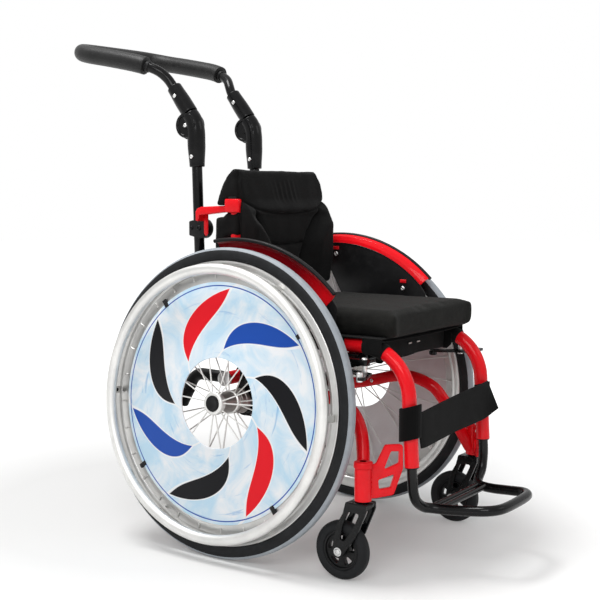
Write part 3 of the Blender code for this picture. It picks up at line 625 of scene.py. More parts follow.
def smooth_path(points: Sequence[Triple], spacing: float = 0.006) -> list[Vector]:
    """Even points on a smooth curve through the given ones.

    Args:
        points: the points that the curve passes through.
        spacing: the distance between its points.

    Returns:
        The curve's points.
    """
    knots = [Vector(point) for point in points]
    knots = [2 * knots[0] - knots[1]] + knots + [2 * knots[-1] - knots[-2]]
    dense: list[Vector] = []
    for a, b, c, d in zip(knots, knots[1:], knots[2:], knots[3:]):
        times = [0.0]
        for first, second in ((a, b), (b, c), (c, d)):
            times.append(times[-1] + max((second - first).length, 1e-6) ** 0.5)
        t0, t1, t2, t3 = times
        for step in range(24):
            t = t1 + (t2 - t1) * step / 24
            p1 = a.lerp(b, (t - t0) / (t1 - t0))
            p2 = b.lerp(c, (t - t1) / (t2 - t1))
            p3 = c.lerp(d, (t - t2) / (t3 - t2))
            q1 = p1.lerp(p2, (t - t0) / (t2 - t0))
            q2 = p2.lerp(p3, (t - t1) / (t3 - t1))
            dense.append(q1.lerp(q2, (t - t1) / (t2 - t1)))
    dense.append(knots[-2])
    lengths = [0.0]
    for first, second in zip(dense, dense[1:]):
        lengths.append(lengths[-1] + (second - first).length)
    count = max(2, round(lengths[-1] / spacing))
    result, index = [], 0
    for step in range(count + 1):
        goal = lengths[-1] * step / count
        while index < len(lengths) - 2 and lengths[index + 1] < goal:
            index += 1
        share = (goal - lengths[index]) / max(lengths[index + 1] - lengths[index], 1e-9)
        result.append(dense[index].lerp(dense[index + 1], min(share, 1.0)))
    return result


def frames(path: Sequence[Vector]) -> list[Matrix]:
    """Frames along a path without twist, whose local Z follows the path."""
    tangents = [(path[min(i + 1, len(path) - 1)] - path[max(i - 1, 0)]).normalized()
        for i in range(len(path))]
    turn = tangents[0].to_track_quat("Z", "Y")
    result = []
    for index, tangent in enumerate(tangents):
        if index:
            turn = tangents[index - 1].rotation_difference(tangent) @ turn
        result.append(Matrix.Translation(path[index]) @ turn.to_matrix().to_4x4())
    return result


def to_mesh(name: str, form: Form) -> bpy.types.Mesh:
    """Write a form into a new mesh and free it."""
    mesh = bpy.data.meshes.new(name)
    form.to_mesh(mesh)
    form.free()
    return mesh


def add_object(name: str, data: bpy.types.ID) -> bpy.types.Object:
    """Put new data into the scene as an object."""
    obj = bpy.data.objects.new(name, data)
    bpy.context.scene.collection.objects.link(obj)
    return obj


def face_out(bm: Form) -> None:
    """Turn all faces outward."""
    bmesh.ops.recalc_face_normals(bm, faces=bm.faces)


def move(bm: Form, matrix: Matrix) -> None:
    """Move a whole form."""
    bmesh.ops.transform(bm, matrix=matrix, verts=bm.verts)


def grid(across: int, along: int) -> Form:
    """Flat sheet of cells from -0.5 to 0.5 both ways."""
    bm = bmesh.new()
    bmesh.ops.create_grid(bm, x_segments=across, y_segments=along, size=0.5)
    return bm


def thicken(bm: Form, thickness: float) -> None:
    """Give a sheet its thickness."""
    bmesh.ops.solidify(bm, geom=list(bm.faces), thickness=thickness)


def round_edges(bm: Form, edges: list[bmesh.types.BMEdge], width: float, segments: int) -> None:
    """Round some edges."""
    bmesh.ops.bevel(bm, geom=edges, offset=width, offset_type="OFFSET", affect="EDGES", segments=segments,
        profile=0.5, material=-1, clamp_overlap=True)


def pull_edges(bm: Form, edges: Sequence[bmesh.types.BMEdge]) -> tuple[list, list]:
    """Extrude edges; gives the new points and the new edges."""
    made = bmesh.ops.extrude_edge_only(bm, edges=edges)["geom"]
    return tuple([item for item in made if isinstance(item, kind)] for kind in (bmesh.types.BMVert,
        bmesh.types.BMEdge))


def join(bm: Form, part: Form, matrix: Optional[Matrix] = None) -> Form:
    """Move a finished form into another bmesh.

    Args:
        bm: the bmesh that takes it.
        part: the form, which is freed.
        matrix: its place.

    Returns:
        The taking bmesh.
    """
    if matrix is not None:
        move(part, matrix)
        if matrix.determinant() < 0:
            bmesh.ops.reverse_faces(part, faces=part.faces)
    carrier = to_mesh("carrier", part)
    bm.from_mesh(carrier)
    bpy.data.meshes.remove(carrier)
    return bm


def gather(parts: Iterable[Form]) -> Form:
    """Join several forms in a new one."""
    whole = bmesh.new()
    for part in parts:
        join(whole, part)
    return whole


def lathe(profile: Sequence[Pair], steps: int = 48, matrix: Optional[Matrix] = None) -> Form:
    """Spin a profile about the local X axis.

    Args:
        profile: (along, radius) points; one that starts and ends on the axis is a full body.
        steps: divisions of the turn.
        matrix: the place of the turned form.

    Returns:
        The closed form.
    """
    bm = bmesh.new()
    verts = [bm.verts.new((along, 0.0, radius)) for along, radius in profile]
    pairs = list(zip(verts, verts[1:]))
    if profile[0][1] > 1e-6:
        pairs.append((verts[-1], verts[0]))
    edges = [bm.edges.new(pair) for pair in pairs]
    bmesh.ops.spin(bm, geom=edges, axis=(1, 0, 0), cent=(0, 0, 0), angle=2 * math.pi, steps=steps,
        use_merge=True, use_duplicate=False)
    bmesh.ops.remove_doubles(bm, verts=bm.verts, dist=2e-6)
    face_out(bm)
    if matrix is not None:
        move(bm, matrix)
    return bm


def pipe(path: Sequence[Vector], radius: float, sides: int = 24, swell: Optional[Callable[[float], float]] =
        None, soften: float = 0.0) -> Form:
    """Draw a round bar along a path.

    Args:
        path: the centre line.
        radius: the bar's radius.
        sides: facets round the bar.
        swell: factor on the radius by the share of the path covered.
        soften: radius of the rounding at the ends.

    Returns:
        The closed bar.
    """
    bm = bmesh.new()
    stations = frames([Vector(point) for point in path])
    made = bmesh.ops.create_circle(bm, cap_ends=False, radius=1.0, segments=sides)
    ring, edges = made["verts"], list(bm.edges)
    marks: list[tuple[Matrix, float]] = []
    for index, station in enumerate(stations):
        share = index / (len(stations) - 1)
        marks.append((station, radius * (swell(share) if swell else 1.0)))
    if soften:
        for end, sign in ((0, -1.0), (-1, 1.0)):
            station, size = marks[end]
            caps = [(station @ Matrix.Translation((0, 0, sign * soften * (math.sin(a) - 1.0))),
                size - soften * (1.0 - math.cos(a))) for a in (0.0, 0.55, 1.05, math.pi / 2)]
            marks = caps[::-1] + marks[1:] if end == 0 else marks[:-1] + caps
    last = Matrix.Identity(4)
    for index, (station, size) in enumerate(marks):
        goal = station @ Matrix.Diagonal((size, size, size, 1.0))
        if index:
            ring, edges = pull_edges(bm, edges)
        bmesh.ops.transform(bm, matrix=goal @ last.inverted(), verts=ring)
        last = goal
    bmesh.ops.holes_fill(bm, edges=[edge for edge in bm.edges if edge.is_boundary], sides=0)
    face_out(bm)
    return bm


def bar(start: Triple, end: Triple, radius: float, sides: int = 24, soften: float = 0.0008) -> Form:
    """Straight round bar with softened ends."""
    return pipe([Vector(start), (Vector(start) + Vector(end)) / 2, Vector(end)], radius, sides, soften=soften)


def slab(outline: Sequence[Pair], axis: Axis, low: float, high: float, bevel: float = 0.0008,
        holes: Sequence[Sequence[Pair]] = (), segments: int = 2) -> Form:
    """Plate with a flat outline, holes and rounded rims.

    Args:
        outline: the outer outline.
        axis: the direction of its thickness.
        low: one face's place along the axis.
        high: the other face's place.
        bevel: the rounding of its rims.
        holes: outlines of its openings.
        segments: divisions of the rounding.

    Returns:
        The closed plate.
    """
    bm = bmesh.new()
    edges = []
    for loop in (outline, *holes):
        verts = [bm.verts.new(axis.place(pair, low)) for pair in loop]
        edges += [bm.edges.new(pair) for pair in zip(verts, verts[1:] + verts[:1])]
    if holes:
        bmesh.ops.triangle_fill(bm, use_beauty=True, use_dissolve=False, edges=edges)
    else:
        bmesh.ops.contextual_create(bm, geom=edges)
    made = bmesh.ops.extrude_face_region(bm, geom=list(bm.faces))
    moved = [item for item in made["geom"] if isinstance(item, bmesh.types.BMVert)]
    bmesh.ops.translate(bm, verts=moved, vec=axis.place((0.0, 0.0), high - low))
    face_out(bm)
    if bevel:
        rims = [edge for edge in bm.edges if len(edge.link_faces) == 2 and
            abs(edge.verts[0].co[axis.value] - edge.verts[1].co[axis.value]) < 1e-6 and
            edge.calc_face_angle(0.0) > math.radians(50)]
        round_edges(bm, rims, bevel, segments)
    return bm


def block(low: Triple, high: Triple, bevel: float = 0.001, segments: int = 2) -> Form:
    """Block between two corners with rounded edges."""
    bm = bmesh.new()
    bmesh.ops.create_cube(bm, size=1.0)
    first, last = Vector(low), Vector(high)
    bmesh.ops.scale(bm, vec=Vector(abs(value) for value in (last - first)), verts=bm.verts)
    bmesh.ops.translate(bm, vec=(first + last) / 2, verts=bm.verts)
    round_edges(bm, list(bm.edges), bevel, segments)
    return bm


def screw(centre: Triple, direction: Triple, radius: float = 0.0045, height: float = 0.0028) -> Form:
    """Button-head screw with a hexagonal socket.

    Args:
        centre: the middle of the seat under the head.
        direction: the way that the head faces.
        radius: the head's radius.
        height: the head's height.

    Returns:
        The head.
    """
    bm = bmesh.new()
    sides = 24
    made = bmesh.ops.create_circle(bm, cap_ends=True, radius=radius * 0.44, segments=sides)
    for vert in made["verts"]:
        turn = math.atan2(vert.co.y, vert.co.x) % (math.pi / 3) - math.pi / 6
        vert.co *= math.cos(math.pi / 6) / math.cos(turn)
    bmesh.ops.translate(bm, vec=(0, 0, height * 0.35), verts=bm.verts)
    edges = list(bm.edges)
    rings = [(0.47, 0.96), (0.52, 1.0), (0.72, 0.9), (0.9, 0.62), (1.0, 0.3), (1.0, -0.1)]
    for reach, level in rings:
        ring, edges = pull_edges(bm, edges)
        for vert in ring:
            flat = Vector((vert.co.x, vert.co.y, 0.0)).normalized() * radius * reach
            if reach < 0.5:
                flat = Vector((vert.co.x, vert.co.y, 0.0))
            vert.co = flat + Vector((0, 0, height * level))
    bmesh.ops.holes_fill(bm, edges=edges, sides=0)
    face_out(bm)
    turn = Vector(direction).to_track_quat("Z", "Y").to_matrix().to_4x4()
    move(bm, Matrix.Translation(Vector(centre)) @ turn)
    return bm


class Workshop:
    """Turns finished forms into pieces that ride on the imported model's bodies."""

    made: list[str] = []

    @staticmethod
    def piece(name: str, form: Form, finish: Finish, node: str = "", body: str = "frame", sharp: float = 38.0,
            extra: Sequence[Finish] = ()) -> bpy.types.Object:
        """Make a piece of a form in chair coordinates.

        Args:
            name: the piece's name.
            form: its form, which is freed.
            finish: its finish.
            node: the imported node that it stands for.
            body: the body that it rides on.
            sharp: degrees past which an edge stays crisp.
            extra: more finishes, for faces whose material number is above 0.

        Returns:
            The piece's object.
        """
        bmesh.ops.translate(form, vec=(0.0, AXLE_Y, 0.0), verts=form.verts)
        mesh = to_mesh(name, form)
        obj = add_object(name, mesh)
        for item in (finish, *extra):
            mesh.materials.append(item.material())
        mesh.shade_smooth()
        mesh.set_sharp_from_angle(angle=math.radians(sharp))
        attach(obj, body)
        if node:
            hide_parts(node)
        Workshop.made.append(name)
        LOG.info("piece %s: %d faces on %s", name, len(mesh.polygons), body)
        return obj


@dataclass
class RearWheel:
    """Cambered rear wheel: tyre, rim, hand rim, spoked hub, printed guard and axle button."""

    side: Side
    steps: int = 144
    hand_rim_radius: float = 0.2365
    hand_rim_tube: float = 0.0095
    hand_rim_offset: float = 0.0362
    spokes: int = 28

    @property
    def body(self) -> str:
        """The wheel's body."""
        return f"rear_wheel_{self.side.tag}"

    def matrix(self) -> Matrix:
        """Place of the wheel's own frame, whose +X points outward along the axle."""
        side = self.side.value
        outward = Vector((side * math.cos(CAMBER), 0.0, math.sin(CAMBER)))
        forward = Vector((0.0, side, 0.0))
        turn = Matrix((outward, forward, outward.cross(forward))).transposed().to_4x4()
        return Matrix.Translation((side * WHEEL_X, 0.0, WHEEL_Z)) @ turn

    def about(self, degrees: float) -> Matrix:
        """A turn about the axle in the wheel's own frame."""
        return Matrix.Rotation(math.radians(degrees), 4, "X")

    def piece(self, name: str, form: Form, finish: Finish, node: str = "", **more: object) -> None:
        """Make a piece of a form in the wheel's own frame."""
        move(form, self.matrix())
        self.side.piece(name, form, finish, node, self.body, **more)

    def build(self) -> None:
        """Build the whole wheel."""
        self.tyre()
        self.rim()
        self.hand_rim()
        self.hub()
        self.guard()
        self.button()

    def tyre(self) -> None:
        """Round-shouldered tyre with a grooved tread band, painted pale grey-blue as a painted reflection of
        the studio light.
        """
        half = mm((9.5, 251.9), (10.9, 253.5), (12.2, 257), (12.6, 260.6), (12.4, 264), (11.6, 267.4),
            (10.2, 270.4), (9.2, 271.9), (8.6, 271.9), (8, 273), (6.2, 274.4), (4.7, 275.1), (4.4, 274.5),
            (4, 274.5), (3.7, 275.3), (1.8, 275.5))
        form = lathe(both_ways(half), self.steps)
        for face in form.faces:
            middle = face.calc_center_median()
            # faces of the tread band take the pale painted reflection
            face.material_index = int(math.hypot(middle.y, middle.z) > 0.2695)
        self.piece("tyre", form, RUBBER, "rear_tyre", sharp=50.0, extra=[TREAD_PAINTED_REFLECTION])

    def rim(self) -> None:
        """Box-section rim with a valve and spoke nipples."""
        half = mm((10.6, 251.4), (11.2, 250), (10.6, 248.6), (10.1, 247.8), (10.4, 242), (10, 239.8),
            (8.6, 236.8), (6.6, 233.4), (5, 231.8), (3, 231.1))
        form = lathe(both_ways(half), self.steps)
        valve = pipe([(0, 0, z) for z in (0.2312, 0.218, 0.205)], 0.0026, 12,
            swell=lambda t: 1.25 if t > 0.45 else 1.0, soften=0.0006)
        join(form, valve, self.about(128.0))
        lip = mm((9.8, 212.8), (9.8, 231.8), (10.8, 232), (11.2, 231), (11, 212.8))
        join(form, lathe(lip, self.steps))
        for count in range(self.spokes):
            nipple = bar((0.0116, 0.0, 0.2205), (0.0116, 0.0, 0.2312), 0.0017, 10, 0.0004)
            join(form, nipple, self.about(360.0 * count / self.spokes + 5.0))
        self.piece("rim", form, RIM_ALLOY, "rear_rim")

    def hand_rim(self) -> None:
        """Hand rim on six screwed tabs."""
        section = arc((self.hand_rim_offset, self.hand_rim_radius), self.hand_rim_tube, 0, 342, 19)
        form = lathe(section, self.steps)
        for count in range(6):
            tab = slab(rounded(mm((10.8, -7), (32.2, -5.2), (32.2, 5.2), (10.8, 7)), 0.002), Axis.Z, 0.2402,
                0.2428, 0.0006)
            join(form, tab, self.about(60.0 * count + 30.0))
        self.piece("hand_rim", form, ALLOY, "pushrim")
        heads = bmesh.new()
        for count in range(6):
            join(heads, screw((0.018, 0.0, 0.2401), (0, 0, -1), 0.0036, 0.0022),
                self.about(60.0 * count + 30.0))
        self.piece("hand_rim_screws", heads, PLASTIC)

    def hub(self) -> None:
        """Turned hub with laced spokes."""
        profile = mm((-32, 6.2), (-32, 17.6), (-31, 18.6), (-22.6, 19), (-21.4, 20.6), (-20.7, 21.2),
            (-19.3, 21.2), (-18.6, 20.4), (-18, 19), (15, 19), (16.6, 19.8), (17.6, 20.6), (26.2, 20.6),
            (27.7, 19.9), (28.5, 18.8), (28.5, 14.6), (22.5, 14.3), (22.5, 6.4))
        form = lathe(profile, 48)
        for face in form.faces:
            face.material_index = int(-0.017 < face.calc_center_median().x < 0.014)
        for count in range(self.spokes):
            inner_x, outer_x = (0.0215, 0.003) if count % 2 else (-0.02, -0.003)
            lean = (6.0, -6.0)[(count // 2) % 2]
            path = [(inner_x, 0.0, 0.0186), (inner_x, 0.0, 0.02), ((outer_x + inner_x) * 0.5, 0.0, 0.125),
                (outer_x, 0.0, 0.219), (outer_x, 0.0, 0.2192), (outer_x, 0.0, 0.2318)]
            spoke = pipe(path, 0.0013, 8, swell=lambda t: 1.5 if t > 0.7 else 1.0)
            for vert in spoke.verts:
                share = max(0.0, (0.225 - vert.co.z) / 0.206)
                vert.co = Matrix.Rotation(math.radians(lean * share), 3, "X") @ vert.co
            join(form, spoke, self.about(360.0 * count / self.spokes))
        self.piece("hub", form, ALLOY, "hub_spokes", extra=[AXLE_ALLOY])

    def guard(self) -> None:
        """Dished spoke guard, printed outside, with a rolled lip and four clips."""
        profile = mm((15.2, 80.6), (15.7, 80), (17.2, 80), (17.8, 80.6), (17.8, 81.8), (17.4, 82.8),
            (13.6, 212.8), (13.3, 214), (12.6, 214.3), (11.8, 214.3), (11.5, 213.6), (15.3, 83))
        form = lathe(profile, self.steps)
        for face in form.faces:
            face.material_index = int(face.normal.x <= 0.35)
        self.piece("guard", form, PrintedDisc(side=self.side.value), "spoke_guard", extra=[GUARD_BACK])
        clips = bmesh.new()
        for count in range(4):
            clip = block((0.011, -0.0042, 0.2065), (0.0158, 0.0042, 0.2215), 0.001)
            join(clips, clip, self.about(90.0 * count + 38.0))
        self.piece("guard_clips", clips, CLIP)

    def button(self) -> None:
        """Quick-release button in the hub, with a dished face."""
        profile = mm((26.5, 0), (26.5, 13.7), (29.5, 13.8), (30.6, 13.2), (31, 11.8), (30.8, 9.8),
            (29.8, 7.2), (29.4, 0))
        self.side.piece("button", lathe(profile, 48, self.matrix()), PLASTIC, "axle_button",
            f"axle_button_{self.side.tag}")
        profile = mm((-100, 0), (-100, 4.5), (-98.5, 6), (-53, 6), (-53, 21.5), (-52.2, 22.5), (-44, 22.5),
            (-43.4, 21.3), (-33.2, 21.3), (-32.4, 20.5), (-32.4, 6), (22, 6), (22, 0))
        self.piece("pin", lathe(profile, 48), AXLE_ALLOY, "axle_pin")


@dataclass
class Caster:
    """Front caster: windowed fork, spoked core and solid tyre."""

    side: Side
    trail: float = 0.039
    radius: float = 0.05
    steps: int = 72

    def axle(self) -> Matrix:
        """Place of the caster's axle, with local X along it."""
        return Matrix.Translation((self.side.value * SWIVEL_X, SWIVEL_Y + self.trail, self.radius))

    def build(self) -> None:
        """Build the caster."""
        self.fork()
        self.wheel()

    def fork(self) -> None:
        """Two windowed legs under a bridge, with stem, bolt and nut."""
        tag = self.side.tag
        outline = mm((-15.5, 137.6), (24, 137.6), (29, 118), (40, 99), (50, 56))
        outline += arc((self.trail, self.radius), 0.0105, 15, -150, 10)
        outline += mm((3.7, 80.3), (-15.5, 126))
        outline = rounded(outline, 0.006, 4, radii={0: 0.003, 1: 0.003})
        window = rounded(mm((-3, 121), (19, 121), (30, 96), (35, 72), (26, 70), (10, 93)), 0.003, 3)
        form = bmesh.new()
        for inner, outer in ((0.1887, 0.1925), (0.2175, 0.2213)):
            join(form, slab(outline, Axis.X, *self.side.reach(inner, outer), 0.001, [window]))
        bridge = mm((-15.2, 137.4), (23.8, 137.4), (26.8, 126.2), (20, 128.2), (-15, 128.2))
        join(form, slab(rounded(bridge, 0.002), Axis.X, *self.side.reach(0.19, 0.22), 0.0012))
        move(form, Matrix.Translation((0.0, SWIVEL_Y, 0.0)))
        centre = upright(self.side)
        join(form, lathe(mm((137, 0), (137, 10), (139.2, 10), (139.2, 6), (200.5, 6), (201, 5.5), (201, 0)),
            32, centre))
        self.side.piece("fork", form, COAT, "caster_fork", f"caster_fork_{tag}")
        bolts = bmesh.new()
        axle = self.axle()
        for sign in (-1, 1):
            washer = mm((16.3, 0), (16.3, 7.2), (17.1, 7.4), (17.1, 0))
            join(bolts, lathe([(sign * x, r) for x, r in washer], 32, axle))
            join(bolts, screw(axle @ Vector((sign * 0.017, 0, 0)), (sign, 0, 0), 0.0058, 0.0036))
        join(bolts, bar(axle @ Vector((-0.0165, 0, 0)), axle @ Vector((0.0165, 0, 0)), 0.004, 16))
        self.side.piece("caster_bolts", bolts, STEEL, body=f"caster_fork_{tag}")

    def wheel(self) -> None:
        """Round tyre on a core with five openings."""
        tag = self.side.tag
        half = mm((8, 33.3), (9.6, 35), (10.6, 38.2), (11, 41.5), (10.4, 45), (8.8, 47.7), (6.4, 49.3),
            (4, 49.9), (1.5, 50))
        self.side.piece("caster_tyre.s", lathe(both_ways(half), self.steps, self.axle()), RUBBER,
            "caster_tyre", f"caster_wheel_{tag}", sharp=50.0)
        outer = arc((0.0, 0.0), 0.0318, 0, 355, 71)
        openings = []
        for count in range(5):
            turn = 72.0 * count
            hole = arc((0.0, 0.0), 0.0258, 71 + turn, 109 + turn, 8)
            hole += arc((0.0, 0.0), 0.015, 109 + turn, 71 + turn, 4)
            openings.append(rounded(hole, 0.0022, 3, radii={i: 0.0 for i in range(1, 8)}))
        middle = arc((0.0, 0.0), 0.0046, 0, 345, 23)
        web = slab(outer, Axis.X, -0.0052, 0.0052, 0.0008, openings + [middle])
        form = lathe(both_ways(mm((6, 28.8), (7.8, 30), (7.8, 33))), self.steps)
        join(form, web)
        join(form, lathe(both_ways(mm((9, 4.6), (9, 9.8), (8.4, 10.4))), 36))
        move(form, self.axle())
        self.side.piece("caster_core.s", form, PLASTIC, "caster_core", f"caster_wheel_{tag}")


@dataclass
class SideFrame:
    """One side of the frame: bent seat and front tube, lower tube, housing and plate."""

    side: Side
    bend: float = 0.086
    front_end: float = 0.19
    lower_radius: float = 0.0113

    def gusset_matrix(self) -> Matrix:
        """Place of the gusset, whose +Y points from the swivel to the front tube."""
        heading = math.atan2(-0.048, -0.067 * self.side.value) - math.pi / 2
        place = Matrix.Translation((self.side.value * SWIVEL_X, SWIVEL_Y, 0.0))
        return place @ Matrix.Rotation(heading, 4, "Z")

    def build(self) -> None:
        """Build this side's frame."""
        self.seat_and_front_tube()
        self.lower_tube()
        self.caster_housing()
        self.rear_plate()

    def seat_path(self) -> list[Vector]:
        """Centre line of the seat and front tube."""
        corners = [(0.035, SEAT_Z), (front_y(SEAT_Z), SEAT_Z), (front_y(self.front_end), self.front_end)]
        flat = rounded(corners, self.bend, 28, closed=False)
        return [Vector((self.side.value * FRONT_X, y, z)) for y, z in flat]

    def seat_and_front_tube(self) -> None:
        """One tube along the seat and down the front, with its sleeve, screws and end plug."""
        side = self.side.value
        form = pipe(self.seat_path(), TUBE, 32)
        self.side.piece("seat_tube", form, ENAMEL, "side_tube")
        mouth = Matrix.Translation((side * FRONT_X, front_y(0.1905), 0.1905)) @ (Vector((0, -0.0577,
            -1)).to_track_quat("X", "Y").to_matrix().to_4x4())
        ring = lathe(mm((0, 9.9), (0, 12.3), (1.8, 12.1), (2.8, 10.8), (2.8, 9.4)), 32, mouth)
        self.side.piece("tube_mouth", ring, PLASTIC)
        heads = gather(screw((side * FRONT_X, front_y(z) + 0.012, z), (0, 1, -0.06), 0.0036, 0.0024)
            for z in (0.202, 0.216))
        self.side.piece("height_screws", heads, STEEL)
        plug = lathe(mm((-1.8, 0), (-1.8, 10.8), (0.2, 12.3), (2.2, 11.8), (3.4, 9.2), (3.6, 0)), 32,
            Matrix.Translation((side * FRONT_X, 0.034, SEAT_Z)) @ Matrix.Rotation(math.pi / 2, 4, "Z"))
        self.side.piece("seat_tube_plug", plug, PLASTIC)

    def lower_tube(self) -> None:
        """Bent tube from the caster housing under the seat to the axle tube, with a stud."""
        side = self.side.value
        path = smooth_path(self.side.flip(mm((202.6, -283.5, 145.3), (178.7, -268.9, 190.3),
            (164, -258.5, 222), (154, -247, 248), (148, -226, 274), (142, -183, 290.5), (140, -145, 289),
            (138.5, -100, 277.5), (137, -50, 266.5), (134.5, 0, 265.5))), 0.005)
        form = pipe(path[2:], self.lower_radius, 28)
        self.side.piece("lower_tube.s", form, ENAMEL, "lower_tube")
        stud = screw((side * 0.1284, -0.0995, 0.2768), (-side, 0, 0), 0.0036, 0.003)
        self.side.piece("lower_tube_stud", stud, STEEL)

    def caster_housing(self) -> None:
        """Swivel housing with its cap collar and the pierced plate to the front tube."""
        outline = mm((10, 199), (23.4, 200), (39.1, 229.9), (42.4, 230.8), (70.2, 229.8), (70.7, 188.7),
            (53.9, 145.6), (23.9, 142.9), (10, 142.9))
        upper = mm((48.4, 219.6), (64.6, 218.4), (63.7, 197.9), (35, 188.3))
        lower = mm((25.9, 173), (57, 181.2), (49.1, 158), (27.2, 156.7))
        form = slab(rounded(outline, 0.006, 4, radii={0: 0.0, 8: 0.0}), Axis.X, -0.003, 0.003, 0.0009,
            [rounded(upper, 0.003), rounded(lower, 0.003)])
        move(form, self.gusset_matrix())
        place = upright(self.side)
        barrel = mm((140, 7), (139.8, 8), (140, 13.8), (140.8, 14.5), (194.6, 14.5), (195, 7))
        join(form, lathe(barrel, 40, place))
        self.side.piece("housing", form, ENAMEL, "caster_housing")
        collar = lathe(mm((195.3, 7), (195.3, 15.4), (195.8, 16), (203.8, 16), (205.2, 15), (206, 12),
            (206.1, 0)), 40, place)
        self.side.piece("housing_cap", collar, RED_CAP)

    def rear_plate(self) -> None:
        """Pierced plate between axle tube, seat tube and backrest pivot."""
        side = self.side.value
        outline = arc((0.0, AXLE_TUBE_Z), 0.0265, 150, 390, 24)
        outline += mm((10, 300), (10, 335), (30, 362), (50, 386), (54, 430), (66.2, 508))
        outline += arc(BACK_PIVOT, 0.0165, 0, 180, 16)
        outline += mm((24, 420), (12, 404), (-30, 403), (-37, 395), (-37, 376), (-29, 365), (-18, 330))
        radii = {i: 0.0 for i in list(range(0, 25)) + list(range(31, 48))}
        holes = [arc((0.0, AXLE_TUBE_Z), 0.0173, 0, 350, 35), arc((-0.004, 0.325), 0.0045, 0, 340, 17),
            arc((0.038, 0.41), 0.005, 0, 340, 17), arc((0.044, 0.45), 0.005, 0, 340, 17)]
        form = slab(rounded(outline, 0.006, 4, radii=radii), Axis.X, *self.side.reach(0.1494, 0.1554), 0.0009,
            holes)
        self.side.piece("rear_plate.s", form, COAT, "rear_plate")
        heads = bmesh.new()
        for y, z in (BACK_PIVOT, (-0.022, 0.3855), (0.018, 0.3855), (-0.004, 0.346)):
            join(heads, screw((side * 0.1553, y, z), (side, 0, 0), 0.005, 0.003))
            join(heads, screw((side * 0.1495, y, z), (-side, 0, 0), 0.0045, 0.002))
        join(heads, bar((side * 0.13, *BACK_PIVOT), (side * 0.15, *BACK_PIVOT), 0.005))
        self.side.piece("rear_plate_screws", heads, STEEL)


